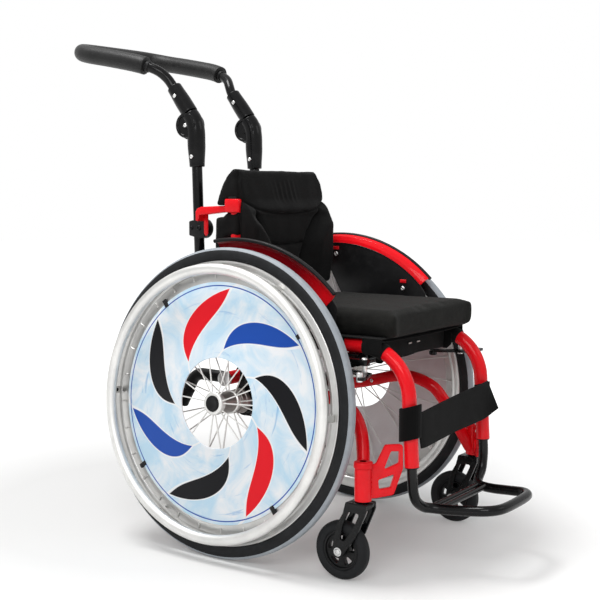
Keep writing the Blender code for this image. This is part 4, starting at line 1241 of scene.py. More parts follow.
@dataclass
class Underframe:
    """Axle tube, rear cross tube, tipping levers and the tube that carries the brakes."""

    axle_radius: float = 0.0165
    cross: Pair = (0.056, 0.302)
    seat_cross: Pair = (-0.225, 0.36)

    def build(self) -> None:
        """Build the cross members."""
        self.axle_tube()
        self.rear_cross_tube()
        for side in Side:
            self.tipping_lever(side)
        self.seat_cross_tube()

    def axle_tube(self) -> None:
        """Anodised axle tube with rounded mouths and split clamps."""
        r, z = self.axle_radius, AXLE_TUBE_Z
        along = Matrix.Translation((0, 0, z))
        form = lathe(both_ways([(0.164, 0.0102), (0.164, r - 0.001), (0.163, r)]), 48, along)
        Workshop.piece("axle_tube.s", form, AXLE_ALLOY, "axle_tube")
        clamps = bmesh.new()
        for side in Side:
            collar = both_ways([(0.0042, r + 0.0003), (0.0042, r + 0.004), (0.0034, r + 0.0048)])
            join(clamps, lathe(collar, 40, Matrix.Translation((side.value * 0.144, 0, z))))
            low, high = side.reach(0.1404, 0.1476)
            join(clamps, block((low, -0.009, z - 0.0285), (high, 0.009, z - 0.019), 0.0015))
        Workshop.piece("axle_clamps", clamps, COAT)
        heads = gather(screw((x, -0.0088, z - 0.024), (0, -1, 0), 0.0036, 0.0026) for x in (-0.144, 0.144))
        Workshop.piece("axle_clamp_screws", heads, STEEL)

    def rear_cross_tube(self) -> None:
        """Red cross tube behind the axle with its black links."""
        y, z = self.cross
        form = pipe([(-0.144, y, z), (0, y, z), (0.144, y, z)], TUBE, 36, soften=0.0012)
        Workshop.piece("cross_tube.s", form, ENAMEL, "rear_cross_tube")
        links = bmesh.new()
        rings = bmesh.new()
        for side in Side:
            outline = arc((0.0, AXLE_TUBE_Z), 0.0235, 121, 301, 20) + arc(self.cross, 0.019, -59, 121, 20)
            holes = [arc((0.0, AXLE_TUBE_Z), self.axle_radius + 0.0004, 0, 350, 35)]
            join(links, slab(outline, Axis.X, *side.reach(0.08, 0.0865), 0.0009, holes))
            ring = both_ways(mm((4, 0), (4, 12.7), (3.4, 13.7)))
            join(rings, lathe(ring, 40, Matrix.Translation((side.value * 0.142, y, z))))
        Workshop.piece("cross_links", links, COAT)
        Workshop.piece("cross_tube_rings", rings, STEEL)

    def tipping_lever(self, side: Side) -> None:
        """Foot lever for tipping the chair, with a ribbed rubber tip."""
        y = self.cross[0]
        flat = rounded([(y + 0.01, 0.3028), (0.136, 0.304), (0.172, 0.242)], 0.03, 12, closed=False)
        path = [Vector((side.value * 0.129, a, b)) for a, b in flat]
        form = pipe(path, 0.0112, 28, soften=0.0015)
        tip = [point for point in smooth_path(path[-2:], 0.003) if point.z < 0.278]
        ribs = math.pi * len(tip)
        join(form, pipe(tip, 0.0124, 28, swell=lambda t: 1.0 + 0.035 * math.cos(t * ribs), soften=0.003))
        side.piece("tipping_lever.s", form, PLASTIC, "tipping_lever")

    def seat_cross_tube(self) -> None:
        """Black tube under the seat with its clamps, brake arms and pivots."""
        y, z = self.seat_cross
        form = pipe([(-0.15, y, z), (0, y, z), (0.15, y, z)], 0.011, 28, soften=0.001)
        heads = bmesh.new()
        for side in Side:
            s = side.value
            low, high = side.reach(FRONT_X - 0.016, FRONT_X + 0.016)
            join(form, block((low, y - 0.016, 0.352), (high, y + 0.016, 0.3733), 0.0022))
            arm = mm((145, -240), (145, -212), (170, -212), (184, -230), (184, -276), (168, -276),
                (168, -240))
            join(form, slab(rounded(side.flip(arm), 0.004, 4), Axis.Z, 0.36, 0.37, 0.001))
            x, back = s * BRAKE_PIVOT[0], BRAKE_PIVOT[1]
            join(heads, bar((x, back, 0.3395), (x, back, 0.365), 0.004, 20))
            join(heads, screw((x, back, 0.3699), (0, 0, 1), 0.0055, 0.0032))
            join(heads, screw((x, back, 0.3415), (0, 0, -1), 0.0055, 0.003))
            for x in (FRONT_X - 0.009, FRONT_X + 0.009):
                join(heads, screw((s * x, y - 0.0158, 0.361), (0, -1, 0), 0.0036, 0.0024))
        Workshop.piece("seat_cross.s", form, COAT, "seat_cross_tube")
        Workshop.piece("seat_cross_screws", heads, STEEL)


@dataclass
class Brake:
    """Brake: a swinging lever with its shoe."""

    side: Side

    def build(self) -> None:
        """Build the lever and its shoe."""
        s, tag = self.side.value, self.side.tag
        outline = mm((166, -277), (190, -285), (208, -294), (223, -295), (223, -283), (196, -274),
            (188, -260), (180, -257), (160, -220), (148, -216), (145, -224), (164, -262))
        holes = [self.side.flip(arc(BRAKE_PIVOT, 0.0046, 0, 340, 17))]
        form = slab(rounded(self.side.flip(outline), 0.003, 3), Axis.Z, 0.342, 0.347, 0.001, holes)
        pad = [(s * 0.152, -0.222, z) for z in (0.336, 0.34, 0.344)]
        join(form, pipe(pad, 0.0075, 24, soften=0.002))
        self.side.piece("brake.s", form, COAT, "brake_lever", f"brake_{tag}")
        shoe = bar((s * 0.211, -0.2805, 0.338), (s * 0.211, -0.2805, 0.354), 0.0055, 28, 0.0012)
        self.side.piece("brake_shoe", shoe, STEEL, body=f"brake_{tag}")


@dataclass
class SideGuard:
    """Clothes guard panel with its screws, and the flared fender over the wheel."""

    side: Side
    first: float = 44.4
    last: float = 100.0
    steps: int = 60

    def build(self) -> None:
        """Build the panel and the fender."""
        self.panel()
        self.fender()

    def panel(self) -> None:
        """Black panel with a bead along its arc, stand-offs, screws and red caps."""
        s = self.side.value
        crown = arc((0.0, WHEEL_Z), 0.2705, 134.4, 84.0, 40)
        outline = crown + mm((32, 519), (15, 485.9), (-8.5, 444), (-13, 408), (-40, 378), (-60, 378),
            (-70, 405), (-150, 405), (-160, 378), (-180, 378), (-198, 408), (-201.5, 452))
        radii = {**{i: 0.0 for i in range(1, 40)}, 40: 0.002}
        form = slab(rounded(outline, 0.008, 4, radii=radii), Axis.X, *self.side.reach(0.1565, 0.1595), 0.001)
        for y in (-0.17, -0.05):
            join(form, bar((s * 0.152, y, SEAT_Z), (s * 0.158, y, SEAT_Z), 0.007))
        self.side.piece("side_panel", form, PLASTIC, "side_guard")
        bead = pipe([(s * 0.1566, y, z) for y, z in crown], 0.0011, 10, soften=0.0004)
        self.side.piece("panel_bead", bead, COAT)
        spots = [(x, y, z) for y, z in ((-0.1517, 0.4603), (0.0037, 0.5238)) for x in (0.1563, 0.1597)]
        spots += [(0.1597, y, SEAT_Z) for y in (-0.17, -0.05)]
        heads = gather(screw((s * x, y, z), (s if x > 0.158 else -s, 0, 0), 0.0048) for x, y, z in spots)
        caps = gather(block((s * 0.154, y - 0.007, z - 0.0035), (s * 0.157, y + 0.007, z + 0.0035), 0.0014, 3)
            for y, z in ((-0.1526, 0.4745), (0.0038, 0.5354)))
        self.side.piece("panel_screws", heads, STEEL)
        self.side.piece("panel_caps", caps, RED_CAP)

    def sweep(self, section: Sequence[Pair], grow: float = 0.0) -> Form:
        """Spin an (|x|, radius) section about the wheel's crown.

        Args:
            section: the closed section.
            grow: degrees added at each end.

        Returns:
            The closed form.
        """
        s = self.side.value
        bm = bmesh.new()
        start = math.radians(self.first - grow)
        verts = [bm.verts.new((s * x, -r * math.cos(start), r * math.sin(start))) for x, r in section]
        face = bm.faces.new(verts)
        bmesh.ops.spin(bm, geom=[face], axis=(1, 0, 0), cent=(0, 0, 0),
            angle=-math.radians(self.last - self.first + 2 * grow), steps=self.steps, use_merge=False,
            use_duplicate=False)
        bmesh.ops.translate(bm, vec=(0, 0, WHEEL_Z), verts=bm.verts)
        face_out(bm)
        return bm

    def fender(self) -> None:
        """Red fender whose lip carries a black edge trim."""
        s = self.side.value
        self.first += 1.4 if self.side is Side.LEFT else 0.0
        outer = mm((159.9, 254.6), (159.9, 270), (161.2, 276.6), (165, 284), (170.2, 287.7), (177, 289.7),
            (177.2, 287.2), (171.2, 285.6), (166.8, 282.2), (163.4, 275.6), (162.2, 270), (162.2, 254.6))
        form = self.sweep(rounded(outer, 0.001))
        # faces of the skirt and faces that look outward take the enamel with painted shade
        for face in form.faces:
            middle = face.calc_center_median()
            inner = math.hypot(middle.y, middle.z - WHEEL_Z) < 0.27
            face.material_index = int(inner or s * face.normal.x > 0.2)
        self.side.piece("fender.s", form, ENAMEL, "fender", sharp=50.0, extra=[SHADED])
        trim = [(0.1744 + 0.004 * math.cos(a), 0.2882 + 0.0034 * math.sin(a))
            for a in [math.radians(20.0 * k) for k in range(18)]]
        self.side.piece("fender_trim", self.sweep(trim, 0.4), PLASTIC, sharp=60.0)


class SoftGoods:
    """Sewing-room helpers for padded pieces."""

    @staticmethod
    def remesh(form: Form, voxel: float) -> bpy.types.Object:
        """Skin a form with an even mesh.

        Args:
            form: the form, which is freed.
            voxel: the edge length of the skin.

        Returns:
            A loose object that holds the skin.
        """
        obj = add_object("pattern", to_mesh("pattern", form))
        skin = obj.modifiers.new("skin", "REMESH")
        skin.mode = "VOXEL"
        skin.voxel_size = voxel
        SoftGoods.apply(obj)
        return obj

    @staticmethod
    def apply(obj: bpy.types.Object) -> None:
        """Replace a loose object's mesh by what its modifiers make of it."""
        bpy.context.view_layer.update()
        graph = bpy.context.evaluated_depsgraph_get()
        mesh = bpy.data.meshes.new_from_object(obj.evaluated_get(graph))
        obj.modifiers.clear()
        obj.data = mesh

    @staticmethod
    def inflate(obj: bpy.types.Object, pressure: float, cap: float) -> None:
        """Let a skin swell as cloth over its filling, each point by at most the cap.

        Args:
            obj: the loose object with the skin.
            pressure: the filling's pressure.
            cap: the farthest that a point may move.
        """
        scene = bpy.context.scene
        rest = [vert.co.copy() for vert in obj.data.vertices]
        cloth = obj.modifiers.new("swell", "CLOTH")
        cloth.settings.use_pressure = True
        cloth.settings.uniform_pressure_force = pressure
        cloth.settings.effector_weights.gravity = 0.0
        cloth.settings.tension_stiffness = 20.0
        cloth.settings.compression_stiffness = 20.0
        cloth.settings.bending_stiffness = 1.5
        cloth.settings.quality = 4
        cloth.point_cache.frame_start, cloth.point_cache.frame_end = 1, 20
        for frame in range(1, 21):
            scene.frame_set(frame)
        SoftGoods.apply(obj)
        scene.frame_set(1)
        for vert, start in zip(obj.data.vertices, rest):
            moved = vert.co - start
            if moved.length > cap:
                vert.co = start + moved.normalized() * cap

    @staticmethod
    def finish(obj: bpy.types.Object, shape: Callable[[Vector, Vector], tuple[Vector, float]]) -> Form:
        """Smooth and refine a skin, then shape its seams.

        Args:
            obj: the loose object with the skin, which is removed.
            shape: gives a point's new place and its share of seam from its place and normal.

        Returns:
            The sewn form, whose seam share is in the layer "seam".
        """
        bm = bmesh.new()
        bm.from_mesh(obj.data)
        bpy.data.objects.remove(obj)
        for _ in range(2):
            bmesh.ops.smooth_vert(bm, verts=bm.verts, factor=0.5, use_axis_x=True, use_axis_y=True,
                use_axis_z=True)
        bmesh.ops.subdivide_edges(bm, edges=bm.edges, cuts=1, use_grid_fill=True, smooth=1.0)
        face_out(bm)
        bm.normal_update()
        layer = bm.verts.layers.float.new("seam")
        moves = [(vert, *shape(vert.co.copy(), vert.normal.copy())) for vert in bm.verts]
        for vert, place, share in moves:
            vert.co = place
            vert[layer] = share
        return bm

    @staticmethod
    def crease(point: Vector, size: float, seed: float) -> float:
        """Soft random unevenness at a point, from -1 to 1."""
        return noise.noise(point / size + Vector((seed, seed * 2.0, seed * 3.0)))


def smooth_step(low: float, high: float, value: float) -> float:
    """Share from 0 to 1 that eases between two values."""
    share = min(max((value - low) / (high - low), 0.0), 1.0)
    return share * share * (3.0 - 2.0 * share)


def gap_to_line(point: Pair, line: Sequence[Pair]) -> float:
    """Distance of a flat point from a polyline."""
    here = Vector(point)
    best = 1.0
    for first, last in zip(line, line[1:]):
        a, b = Vector(first), Vector(last)
        share = min(max((here - a).dot(b - a) / max((b - a).length_squared, 1e-12), 0.0), 1.0)
        best = min(best, (here - a.lerp(b, share)).length)
    return best


@dataclass
class Seat:
    """Sling with flaps and straps under it, and the foam cushion in its sewn cover."""

    half_width: float = 0.1415
    rear: float = -0.01
    front: float = -0.309
    low: float = 0.4026
    top: float = 0.448
    voxel: float = 0.0048

    def build(self) -> None:
        """Build the seat."""
        self.sling()
        self.straps()
        self.valance()
        self.cushion()

    def sling(self) -> None:
        """Taut sling cloth with flaps folded down over the seat tubes."""
        bm = grid(30, 24)
        for vert in bm.verts:
            across, along = vert.co.x, vert.co.y
            y = -0.285 + (along + 0.5) * 0.295
            half = 0.151 if y < -0.047 else 0.1465
            x = across * 2.0 * half
            sag = 0.0012 * math.cos(math.pi * across) * (1 + 0.4 * math.sin(y * 70.0))
            vert.co = Vector((x, y, 0.4019 - sag))
        for side in Side:
            for rear, front in ((-0.248, -0.285), (-0.045, -0.218)):
                hem = [vert for vert in bm.verts if vert.co.x * side.value > 0.15 and front - 0.004 <
                    vert.co.y < rear]
                edges = [edge for edge in bm.edges if edge.verts[0] in hem and edge.verts[1] in hem and
                    edge.is_boundary]
                for depth in (0.006, 0.011, 0.01):
                    down, edges = pull_edges(bm, edges)
                    bmesh.ops.translate(bm, vec=(0.0, 0.0, -depth), verts=down)
        face_out(bm)
        thicken(bm, 0.0016)
        face_out(bm)
        sling = Workshop.piece("sling", bm, CLOTH, "seat_sling", sharp=70.0)

    def straps(self) -> None:
        """Webbing straps that draw the sling tight between the tubes."""
        bm = bmesh.new()
        for y in (-0.266, -0.18, -0.12, -0.07):
            path = smooth_path([(-0.15, y, 0.396), (-0.11, y, 0.3945), (0.0, y, 0.3925), (0.11, y, 0.3945),
                (0.15, y, 0.396)], 0.01)
            strap = bmesh.new()
            verts = [strap.verts.new((point.x, point.y - 0.019, point.z)) for point in path]
            edges = [strap.edges.new(pair) for pair in zip(verts, verts[1:])]
            for _ in range(2):
                moved, edges = pull_edges(strap, edges)
                edges = [edge for edge in edges if edge.verts[0] in moved and edge.verts[1] in moved]
                bmesh.ops.translate(strap, vec=(0.0, 0.019, 0.0), verts=moved)
            thicken(strap, 0.0016)
            face_out(strap)
            join(bm, strap)
        Workshop.piece("sling_straps", bm, WEBBING)

    def valance(self) -> None:
        """Cloth hung under the sling's front, and sleeves of cloth round the tubes."""
        bm = grid(40, 8)
        for vert in bm.verts:
            x, share = vert.co.x * 0.24, vert.co.y + 0.5
            wave = 0.0012 * math.sin(x * 70.0 + 2.0 * share) * (1.0 - share)
            low = 0.36 + 0.0012 * math.sin(x * 38.0)
            vert.co = Vector((x, -0.262 + wave, low + (0.399 - low) * share))
        thicken(bm, 0.0016)
        for side in Side:
            run = [point for point in SideFrame(side).seat_path() if -0.288 < point.y < -0.244]
            join(bm, pipe(run, TUBE + 0.0022, 32, soften=0.0012))
            flap = mm((-257, 389), (-278, 386), (-277, 364), (-268, 356), (-257, 356))
            join(bm, slab(rounded(flap, 0.003), Axis.X, *side.reach(0.1196, 0.1212), 0.0004))
        face_out(bm)
        Workshop.piece("sling_valance", bm, CLOTH, sharp=60.0)
        buckles = gather(block((x - 0.0055, -0.2655, 0.3787), (x + 0.0055, -0.264, 0.3813), 0.0006)
            for x in (0.015, -0.015))
        Workshop.piece("valance_buckles", buckles, AXLE_ALLOY)

    def cushion(self) -> None:
        """Foam cushion in a sewn cover with a crowned top."""
        inset = 0.003
        base = block((-self.half_width + inset, self.front + inset, self.low + 0.0004),
            (self.half_width - inset, self.rear - inset, self.top - 0.003), 0.0075, 4)
        obj = SoftGoods.remesh(base, self.voxel)
        SoftGoods.inflate(obj, 3.0, 0.0046)
        high = self.top - 0.001
        wide, front, rear = self.half_width - 0.001, self.front + 0.001, self.rear - 0.001
        corners = [(-wide, front), (wide, front), (wide, rear), (-wide, rear)]
        ring = corners + corners[:1]
        centre = (self.front + self.rear) / 2

        def sew(point: Vector, normal: Vector) -> tuple[Vector, float]:
            """Place one point of the cover."""
            flat = (point.x, point.y)
            edge = gap_to_line(flat, ring)
            upper = math.hypot(edge, point.z - high)
            lower = math.hypot(edge, point.z - self.low - 0.004)
            corner = min((Vector(flat) - Vector(spot)).length for spot in corners)
            near = min(abs(upper - 0.0038), abs(lower - 0.0036) * 1.6, abs(corner - 0.0045) * 1.2)
            share = math.exp(-(near / 0.0016) ** 2)
            middle = max(0.0, 1.0 - (point.x / self.half_width) ** 2)
            middle *= max(0.0, 1.0 - ((point.y - centre) / 0.16) ** 2)
            wave = SoftGoods.crease(point, 0.055, 3.0) * 0.001
            point = point + normal * (wave - 0.0012 * share)
            if normal.z > 0.3 and point.z > 0.43:
                point.z += 0.0012 * middle
            under = 1.0 - smooth_step(self.low, self.low + 0.022, point.z)
            point.x *= 1.0 - 0.035 * under
            peak = math.exp(-(corner / 0.014) ** 2)
            point.x += math.copysign(0.0085 * peak, point.x)
            point.y += math.copysign(0.0085 * peak, point.y - centre)
            if normal.z > 0.1:
                point.z += 0.012 * point.x * smooth_step(0.425, 0.44, point.z)
            point.y -= 0.02 * point.x * smooth_step(-0.18, -0.3, point.y)
            point.x = max(-self.half_width - 0.0035, min(self.half_width + 0.0045, point.x))
            point.y = max(self.front - 0.0005 - 0.02 * point.x, min(self.rear + 0.001, point.y))
            point.z = max(self.low, min(self.top + 0.0028, point.z))
            return point, share

        form = SoftGoods.finish(obj, sew)
        cushion = Workshop.piece("cushion", form, SEAT_CLOTH, "seat_cushion", sharp=75.0)


@dataclass
class CalfStrap:
    """Broad calf band round the front tubes, fastened on itself near each tube."""

    reach: float = 0.016
    thickness: float = 0.0022

    def band(self, path: Sequence[tuple[Triple, Triple]]) -> Form:
        """Band along a path.

        Args:
            path: the low and the high edge's point at each station.

        Returns:
            The closed band.
        """
        count = len(path) - 1
        bm = grid(count, 6)
        for vert in bm.verts:
            low, high = path[round((vert.co.x + 0.5) * count)]
            vert.co = Vector(low).lerp(Vector(high), vert.co.y + 0.5)
        face_out(bm)
        thicken(bm, self.thickness)
        face_out(bm)
        return bm

    def loop(self, side: Side, radius: float, first: float, last: float, low: float, high: float) -> Form:
        """Turn of the band round one front tube, rising to the front."""
        stations = []
        for step in range(25):
            angle = math.radians(first + (last - first) * step / 24)
            x = side.value * FRONT_X + radius * math.cos(angle)
            y = front_y(0.258) + radius * math.sin(angle)
            rise = 0.28 * (-0.317 - y)
            stations.append(((x, y, low + rise), (x, y, high + rise)))
        return self.band(stations)

    def build(self) -> None:
        """Build the band, its loops and its free end."""
        front = front_y(0.258) - self.reach - 0.0005
        low, high = (smooth_path([(x, front + y, z) for x, y, z in edge], 0.0095)
            for edge in (mm((-124, 1, 220.4), (-114.5, 0, 220.3), (0, 3, 226.2), (118.9, -1.2, 232.9),
            (136, -5.6, 239.8), (150, -11.8, 247.2)), mm((-140, 1.2, 281.7), (-131.7, 0, 282.3),
            (0, 3, 291.2), (105, -1, 299.6), (118, -0.8, 300.6), (126.2, 0, 301.2))))
        count = min(len(low), len(high)) - 1
        pairs = [[tuple(edge[round(k * (len(edge) - 1) / count)]) for edge in (low, high)]
            for k in range(count + 1)]
        form = self.band(pairs)
        join(form, self.loop(Side.RIGHT, self.reach + 0.003, 40, 287, 0.2314, 0.2874))
        join(form, self.loop(Side.LEFT, self.reach - 0.0014, -120, 200, 0.232, 0.289))
        strap = Workshop.piece("calf_band", form, WEBBING, "calf_strap", sharp=50.0)


@dataclass
class Footrest:
    """Bent foot bar whose ends slide in the front tubes, with two cross rods."""

    radius: float = 0.00875

    def build(self) -> None:
        """Build the foot bar."""
        half = [(FRONT_X, front_y(z), z) for z in (0.265, 0.21, 0.165)]
        half += mm((132.5, -339.6, 145), (126.5, -340.4, 132), (115, -341.2, 122), (102, -345, 114.5),
            (92, -356, 112.2), (86, -380, 112), (80.5, -420, 115), (73.5, -448, 117.8), (60, -460.5, 118.8),
            (43, -465, 119))
        path = smooth_path(Side.RIGHT.flip(half) + Side.LEFT.flip(half[::-1]), 0.0045)
        form = pipe(path, self.radius, 28)
        for y, reach in ((-0.352, 0.0955), (-0.3685, 0.089)):
            join(form, pipe([(x, y, 0.1135) for x in (-reach, 0, reach)], 0.005, 20))
        Workshop.piece("foot_bar", form, COAT, "footrest_bar", "footrest")


@dataclass
class Backrest:
    """Folding backrest: canes, brackets and clamps, shaped pad and rear cover."""

    cane_x: float = 0.116
    half: float = 0.128
    voxel: float = 0.0042

    def build(self) -> None:
        """Build the backrest."""
        for side in Side:
            self.cane(side)
            self.bracket(side)
            self.clamp(side)
        self.pad()
        self.cover()

    def cane(self, side: Side) -> None:
        """Red cane on its pivot barrel."""
        flat = rounded([BACK_PIVOT, (0.047, 0.565), (0.047, 0.662)], 0.02, 6, closed=False)
        form = pipe([(side.value * self.cane_x, y, z) for y, z in flat], 0.0109, 28, soften=0.0008)
        barrel = mm((104, 0), (104, 12.5), (105, 13.5), (146.5, 13.5), (147.5, 12.5), (147.5, 0))
        place = Matrix.Translation((0, *BACK_PIVOT))
        join(form, lathe(side.flip(barrel), 40, place))
        side.piece("cane", form, ENAMEL, "back_cane", "backrest")
        heads = screw((side.value * 0.1042, *BACK_PIVOT), (-side.value, 0, 0), 0.0065, 0.003)
        side.piece("cane_screw", heads, STEEL, body="backrest")

    def bracket(self, side: Side) -> None:
        """Red bracket on the cane, with its arm to the push tube and a black cap."""
        s = side.value
        form = block((s * 0.1005, 0.03, 0.6095), (s * 0.132, 0.0635, 0.6345), 0.0028, 3)
        arm = rounded(mm((60, 622.5), (128, 619.5), (136.8, 616.5), (141.5, 610.5), (141.5, 592.5),
            (134.5, 592.5), (132.5, 603.5), (60, 611)), 0.003, 3)
        join(form, slab(arm, Axis.X, *side.reach(0.1012, 0.122), 0.0018, segments=3))
        strip = rounded(mm((125.8, 610), (135.2, 610), (135.2, 570), (132.8, 564.5), (128.5, 564.5),
            (125.8, 569)), 0.002, 3)
        join(form, slab(strip, Axis.X, *side.reach(0.1014, 0.1043), 0.0007))
        side.piece("bracket", form, ENAMEL, "back_bracket", "backrest")
        cap = block((s * 0.106, 0.0375, 0.6335), (s * 0.1292, 0.0565, 0.6392), 0.0014)
        side.piece("bracket_cap", cap, PLASTIC, body="backrest")

    def clamp(self, side: Side) -> None:
        """Black push-tube clamp with its side plate and screws."""
        s = side.value
        front = arc((0.151, 0.5775), 0.019, 90, 270, 16)
        form = slab(rounded(front + mm((174, 564), (174, 592)), 0.003, 3,
            radii={i: 0.0 for i in range(1, 16)}), Axis.X, *side.reach(0.0785, 0.1008), 0.0014, segments=3)
        plate = rounded(mm((135, 560), (172.5, 564), (172.5, 592), (135, 596)), 0.003, 3)
        join(form, slab(plate, Axis.X, *side.reach(0.1006, 0.104), 0.001))
        join(form, screw((s * 0.1039, 0.148, 0.579), (s, 0, 0), 0.0052, 0.0026))
        join(form, screw((s * 0.1039, 0.166, 0.579), (s, 0, 0), 0.0038, 0.002))
        side.piece("clamp", form, PLASTIC, "push_clamp", "backrest")

    def pad(self) -> None:
        """Shaped back pad: hollow centre between two bolsters under a padded top band."""
        section = rounded(mm((0, 469), (-8, 530), (-7.5, 585), (13, 620), (21.5, 632), (31, 681),
            (34.5, 688.5), (43, 688.5), (45, 678), (45, 602), (34, 592), (34, 469)), 0.006, 3)
        base = slab(section, Axis.X, -self.half + 0.0035, self.half - 0.0035, 0.004, segments=2)
        obj = SoftGoods.remesh(base, self.voxel)
        for vert in obj.data.vertices:
            x, y, z = vert.co
            if y < 0.03 and z < 0.625:
                width = 0.052 + (0.095 - 0.052) * smooth_step(0.545, 0.612, z)
                hollow = 1.0 - smooth_step(width - 0.006, width + 0.034, abs(x))
                hollow *= 1.0 - smooth_step(0.6, 0.616, z)
                floor = 0.0165 + 0.004 * smooth_step(0.56, 0.47, z)
                vert.co.y = y + hollow * max(0.0, floor - y)
        SoftGoods.inflate(obj, 3.0, 0.004)
        band = mm((-132, 634), (-122.3, 630), (-109, 623.5), (-90.6, 615), (-63.5, 609.7), (-21, 606.6),
            (21, 606.6), (63.5, 609.7), (90.6, 615), (109, 623.5), (122.3, 630), (132, 634))
        flank = mm((97.5, 619), (93.5, 606), (80, 586), (66, 569), (56, 549), (50, 523), (47, 469))
        widths = mm((450, 130, 5), (555, 133, 4.5), (594, 136, 4.5), (616.5, 139, 6), (631, 138.5, 8),
            (642, 138, 6.5), (664, 138.5, 4), (684, 131, 2), (700, 127.5, 1))
        lines = [band, flank, [(-x, z) for x, z in flank], mm((-56, 551), (-30, 548.2), (0, 547.2),
            (30, 548.2), (56, 551))]

        def sew(point: Vector, normal: Vector) -> tuple[Vector, float]:
            """Place one point of the pad's cover."""
            share = 0.0
            if normal.y < 0.25 and point.y < 0.04:
                near = min(gap_to_line((point.x, point.z), line) for line in lines)
                share = math.exp(-(near / 0.0026) ** 2)
                pull = math.exp(-(near / 0.0095) ** 2)
                point = point + Vector((0.0, 0.0042 * share + 0.0028 * pull, 0.0))
            side = math.hypot(abs(point.x) - self.half, (point.y - 0.03) * 0.9)
            hem = math.exp(-((side - 0.004) / 0.0018) ** 2)
            wave = SoftGoods.crease(Vector((point.x, point.y, point.z * 0.6)), 0.03, 5.0) * 0.0011
            wave += SoftGoods.crease(Vector((point.x * 1.8, point.y, point.z * 0.6)), 0.03,
                8.0) * 0.0004 * (smooth_step(0.612, 0.64, point.z))
            point = point + normal * (wave - 0.0012 * hem)
            point.x = max(-self.half - 0.001, min(self.half + 0.001, point.x))
            for (z0, w0, e0), (z1, w1, e1) in zip(widths, widths[1:]):
                if z0 <= point.z < z1:
                    part = (point.z - z0) / (z1 - z0)
                    wide = w0 + (w1 - w0) * part + (e0 + (e1 - e0) * part) * math.copysign(1.0, point.x)
                    grow = wide / (self.half + 0.001) - 1.0
                    point.x *= 1.0 + grow * (1.0 - smooth_step(0.026, 0.042, point.y))
            if normal.y < -0.3:
                folds = smooth_step(0.622, 0.64, point.z) * (1.0 - smooth_step(0.66, 0.676, point.z))
                folds *= smooth_step(-0.045, -0.015, point.x) * (1.0 - smooth_step(0.03, 0.06, point.x))
                point.y += 0.0006 * folds * math.sin(point.x * 430.0 + point.z * 60.0)
            return point, max(share, 0.6 * hem)

        form = SoftGoods.finish(obj, sew)
        pad = Workshop.piece("back_pad", form, BACK_CLOTH, "backrest_pad", "backrest", sharp=75.0)

    def cover(self) -> None:
        """Cloth sleeve over the canes, with openings for the brackets."""
        whole = rounded(mm((34.5, 567), (86, 567), (86, 616), (76, 650.8), (61, 678), (46, 689), (34.5, 689)),
            0.004, 3)
        form = slab(whole, Axis.X, -0.0985, 0.0985, 0.0)
        for side in Side:
            below = mm((34.5, 567), (60, 567), (70, 560), (76, 502), (92, 502), (90.5, 560), (88, 600),
                (66, 600), (66, 608.2), (34.5, 608.2))
            above = mm((34.5, 636), (65, 636), (65, 624), (87, 624), (77, 650.8), (62, 678.5), (46, 690),
                (34.5, 690))
            for part in (below, above):
                join(form, slab(rounded(part, 0.0015, 2), Axis.X, *side.reach(0.096, 0.129), 0.0012))
        tail = mm((70, 574), (76, 502), (92, 502), (89, 574))
        join(form, slab(rounded(tail, 0.0015, 2), Axis.X, -0.0985, 0.0985, 0.0))
        obj = SoftGoods.remesh(form, self.voxel)
        SoftGoods.inflate(obj, 1.5, 0.0018)

        def sew(point: Vector, normal: Vector) -> tuple[Vector, float]:
            """Place one point of the sleeve."""
            hem = math.exp(-((abs(point.x) - 0.115) / 0.0018) ** 2) if normal.y > 0.5 else 0.0
            wave = SoftGoods.crease(Vector((point.x * 0.7, point.y, point.z * 1.3)), 0.026, 11.0) * 0.0016
            point = point + normal * (wave - 0.0012 * hem)
            point.x = max(-0.1308, min(0.1308, point.x))
            return point, hem

        form = SoftGoods.finish(obj, sew)
        Workshop.piece("back_sleeve", form, BACK_CLOTH, "backrest_cover", "backrest", sharp=75.0)


